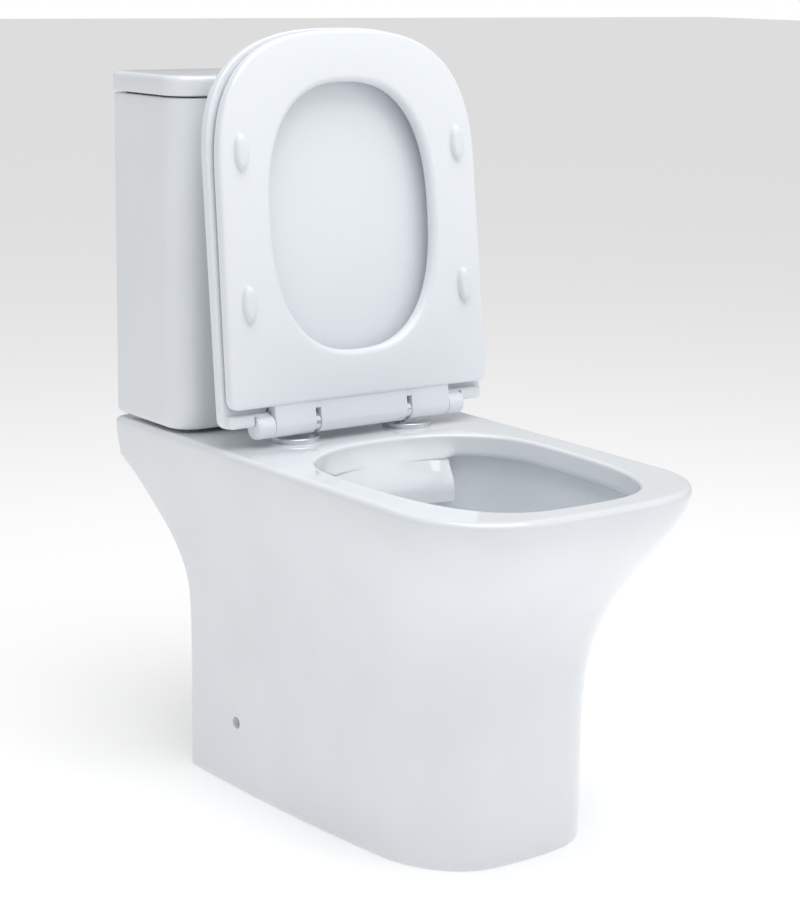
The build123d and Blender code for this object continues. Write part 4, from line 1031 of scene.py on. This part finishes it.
# %% Pads under the seat
PAD_HALF, PAD_LENGTH_HALF, PAD_HEIGHT = 8.0, 20.0, 7.2
PAD_PLACES = [(side * x, out) for side in (-1, 1) for x, out in ((146.0, 135.0), (145.0, 297.0))]


def pad(across, out):
    """A domed oval on the seat's underside: ovals scaled and raised along a rounded profile."""
    turn = np.linspace(0, 2 * np.pi, 48, endpoint=False)
    lift = np.concatenate([[0.0, 0.0], np.linspace(0.0, np.pi / 2, 9)])
    scale = np.concatenate([[0.0], [1.0], 0.45 + 0.55 * np.cos(lift[2:]) ** 0.8, [0.2, 0.0]])
    height = PAD_HEIGHT * np.concatenate([np.sin(lift) ** 0.9, [1.0, 1.0]])
    long_way = PAD_LENGTH_HALF * np.sign(np.cos(turn)) * np.abs(np.cos(turn)) ** 0.85
    oval = np.stack([PAD_HALF * np.sin(turn), long_way])
    flat = (across, out) + scale[:, None, None] * oval.T[None]
    return stand(flat, SEAT_FACES[1] + height[:, None])


add_piece(
    "seat_pads",
    as_mesh("seat_pads", [pad(*place) for place in PAD_PLACES], smooth_angle=50),
    "seat",
    soft_buffer,
    ["seat_buffers"],
)

# %% [markdown]
# ## Metal on the deck and in the lid
# The rosettes are spun discs with a soft edge that hide the seat's fixings, and the flush button stands in
# a turned ring. Both are made by turning a profile round its middle.

# %% Rosettes and the button's ring
disc_top = [(0, 5.6), (24.5, 6.0), (28.5, 5.4)]
disc_under = [(28.5, 0), (25.5, 0), (25.5, 4), (0, 4)]
disc = rounded(disc_top + disc_under, (0, 1, 1.8, 0.6, 0.4, 0.8, 0), 6)
for (x, y), name in zip(SEAT_BOLTS, ("left", "right")):
    mesh = as_mesh(f"rosette_{name}", [lathe(disc, (x, y, RIM), count=96)], smooth_angle=40)
    add_piece(f"rosette_{name}", mesh, "root", satin_chrome, [f"hinge_rosette_{name}"])

flange = [(19.0, -20), (19.0, 2.6), (20.0, 3.4), (27.6, 2.6), (29.0, 0), (21, 0)]
cup = [(21, -26), (0, -26), (0, -23), (19.0, -23), (19.0, -20)]
ring_grid = lathe(rounded(flange + cup, 0.8, 5), (0, TANK_Y, lid_high[2]), count=96)
ring_mesh = as_mesh("button_ring", [ring_grid], smooth_angle=40)
add_piece("button_ring", ring_mesh, "lid", chrome, ["button_sleeve"])

# the knuckles' end caps are moulded with the cover and share its white
for name in ("hinge_cap_left", "hinge_cap_right"):
    frame["nodes"][name].data.materials[0] = duroplast

# %% [markdown]
# ## Floor and light
# A pale floor and a pale room light the china from all round. Two large soft panels model it: the strong
# one hangs above and a little in front, and a weak one stands at the front right. The room lights the china
# at half strength, but a ray that comes straight from the camera sees it at full white.

# %% Studio
bpy.ops.mesh.primitive_plane_add(size=60, location=(0, 0, -0.0005))
floor = bpy.context.object
floor.name = "studio_floor"
paper, tree, shader = new_material("white_studio_floor", "fbfbfb", 0.9)
shader.inputs["Emission Color"].default_value = linear("ffffff")
shader.inputs["Emission Strength"].default_value = 0.24
floor.data.materials.append(paper)

scene = bpy.context.scene
scene.view_settings.view_transform = "Standard"
ROOM_LIGHT = 0.5
TOP_WATTS, FRONT_WATTS = 33, 5
LIGHT_AIM = (0, 0, 0.4)
WHITE = linear("ffffff")
world = bpy.data.worlds.new("studio_room")
world.use_nodes = True
room = world.node_tree
background = room.nodes["Background"]
background.inputs["Color"].default_value = WHITE
background.inputs["Strength"].default_value = ROOM_LIGHT
seen = node(room, "ShaderNodeBackground", inputs={"Color": WHITE, "Strength": 1.0})
rays = node(room, "ShaderNodeLightPath")
choice = {0: (rays, "Is Camera Ray"), 1: (background, 0), 2: (seen, 0)}
chosen = node(room, "ShaderNodeMixShader", links=choice)
room.links.new(chosen.outputs[0], room.nodes["World Output"].inputs["Surface"])
scene.world = world


def panel(name, place, aim, size, watts):
    """A soft rectangular light that stands at a place and faces a point."""
    light = bpy.data.lights.new(name, "AREA")
    light.shape, light.size, light.size_y, light.energy = "RECTANGLE", size[0], size[1], watts
    lamp = bpy.data.objects.new(name, light)
    lamp.location = place
    lamp.rotation_euler = (Vector(aim) - Vector(place)).to_track_quat("-Z", "Y").to_euler()
    scene.collection.objects.link(lamp)


panel("front_right_panel", (1.6, -1.9, 1.5), LIGHT_AIM, (1.6, 1.8), FRONT_WATTS)
panel("top_panel", (-0.1, -0.5, 2.4), LIGHT_AIM, (2.0, 2.0), TOP_WATTS)
print("panels:", TOP_WATTS, "W above and", FRONT_WATTS, "W at the front right")

# %% [markdown]
# ## Camera
# The camera stands a little above the rim, low enough to see into the bowl only at a slant. Its place is
# given by the angle round the object, the angle above the floor and the distance from a target point, and
# it leans by a small roll.

# %% Camera
TARGET = np.array((0.0, WALL / 1000 - 0.300, 0.4126))
AZIMUTH, ELEVATION, ROLL = np.radians((-36.5, 12.16, 0.85))
DISTANCE = 2.387
back = np.array(
    (math.sin(AZIMUTH) * math.cos(ELEVATION), -math.cos(AZIMUTH) * math.cos(ELEVATION), math.sin(ELEVATION))
)
right = np.array((math.cos(AZIMUTH), math.sin(AZIMUTH), 0))
up = np.cross(back, right)
turned_right = right * math.cos(ROLL) + up * math.sin(ROLL)
turned_up = up * math.cos(ROLL) - right * math.sin(ROLL)
lens = bpy.data.cameras.new("camera")
lens.sensor_width, lens.lens = 36.0, 86.6
lens.shift_x, lens.shift_y = 0.0108, -0.0198
camera = bpy.data.objects.new("camera", lens)
pose = np.eye(4)
pose[:3, :3] = np.stack([turned_right, turned_up, back], axis=1)
pose[:3, 3] = TARGET + back * DISTANCE
camera.matrix_world = Matrix(pose.tolist())
scene.collection.objects.link(camera)
scene.camera = camera
print("camera at", np.round(pose[:3, 3], 3), "m, lens", lens.lens, "mm")
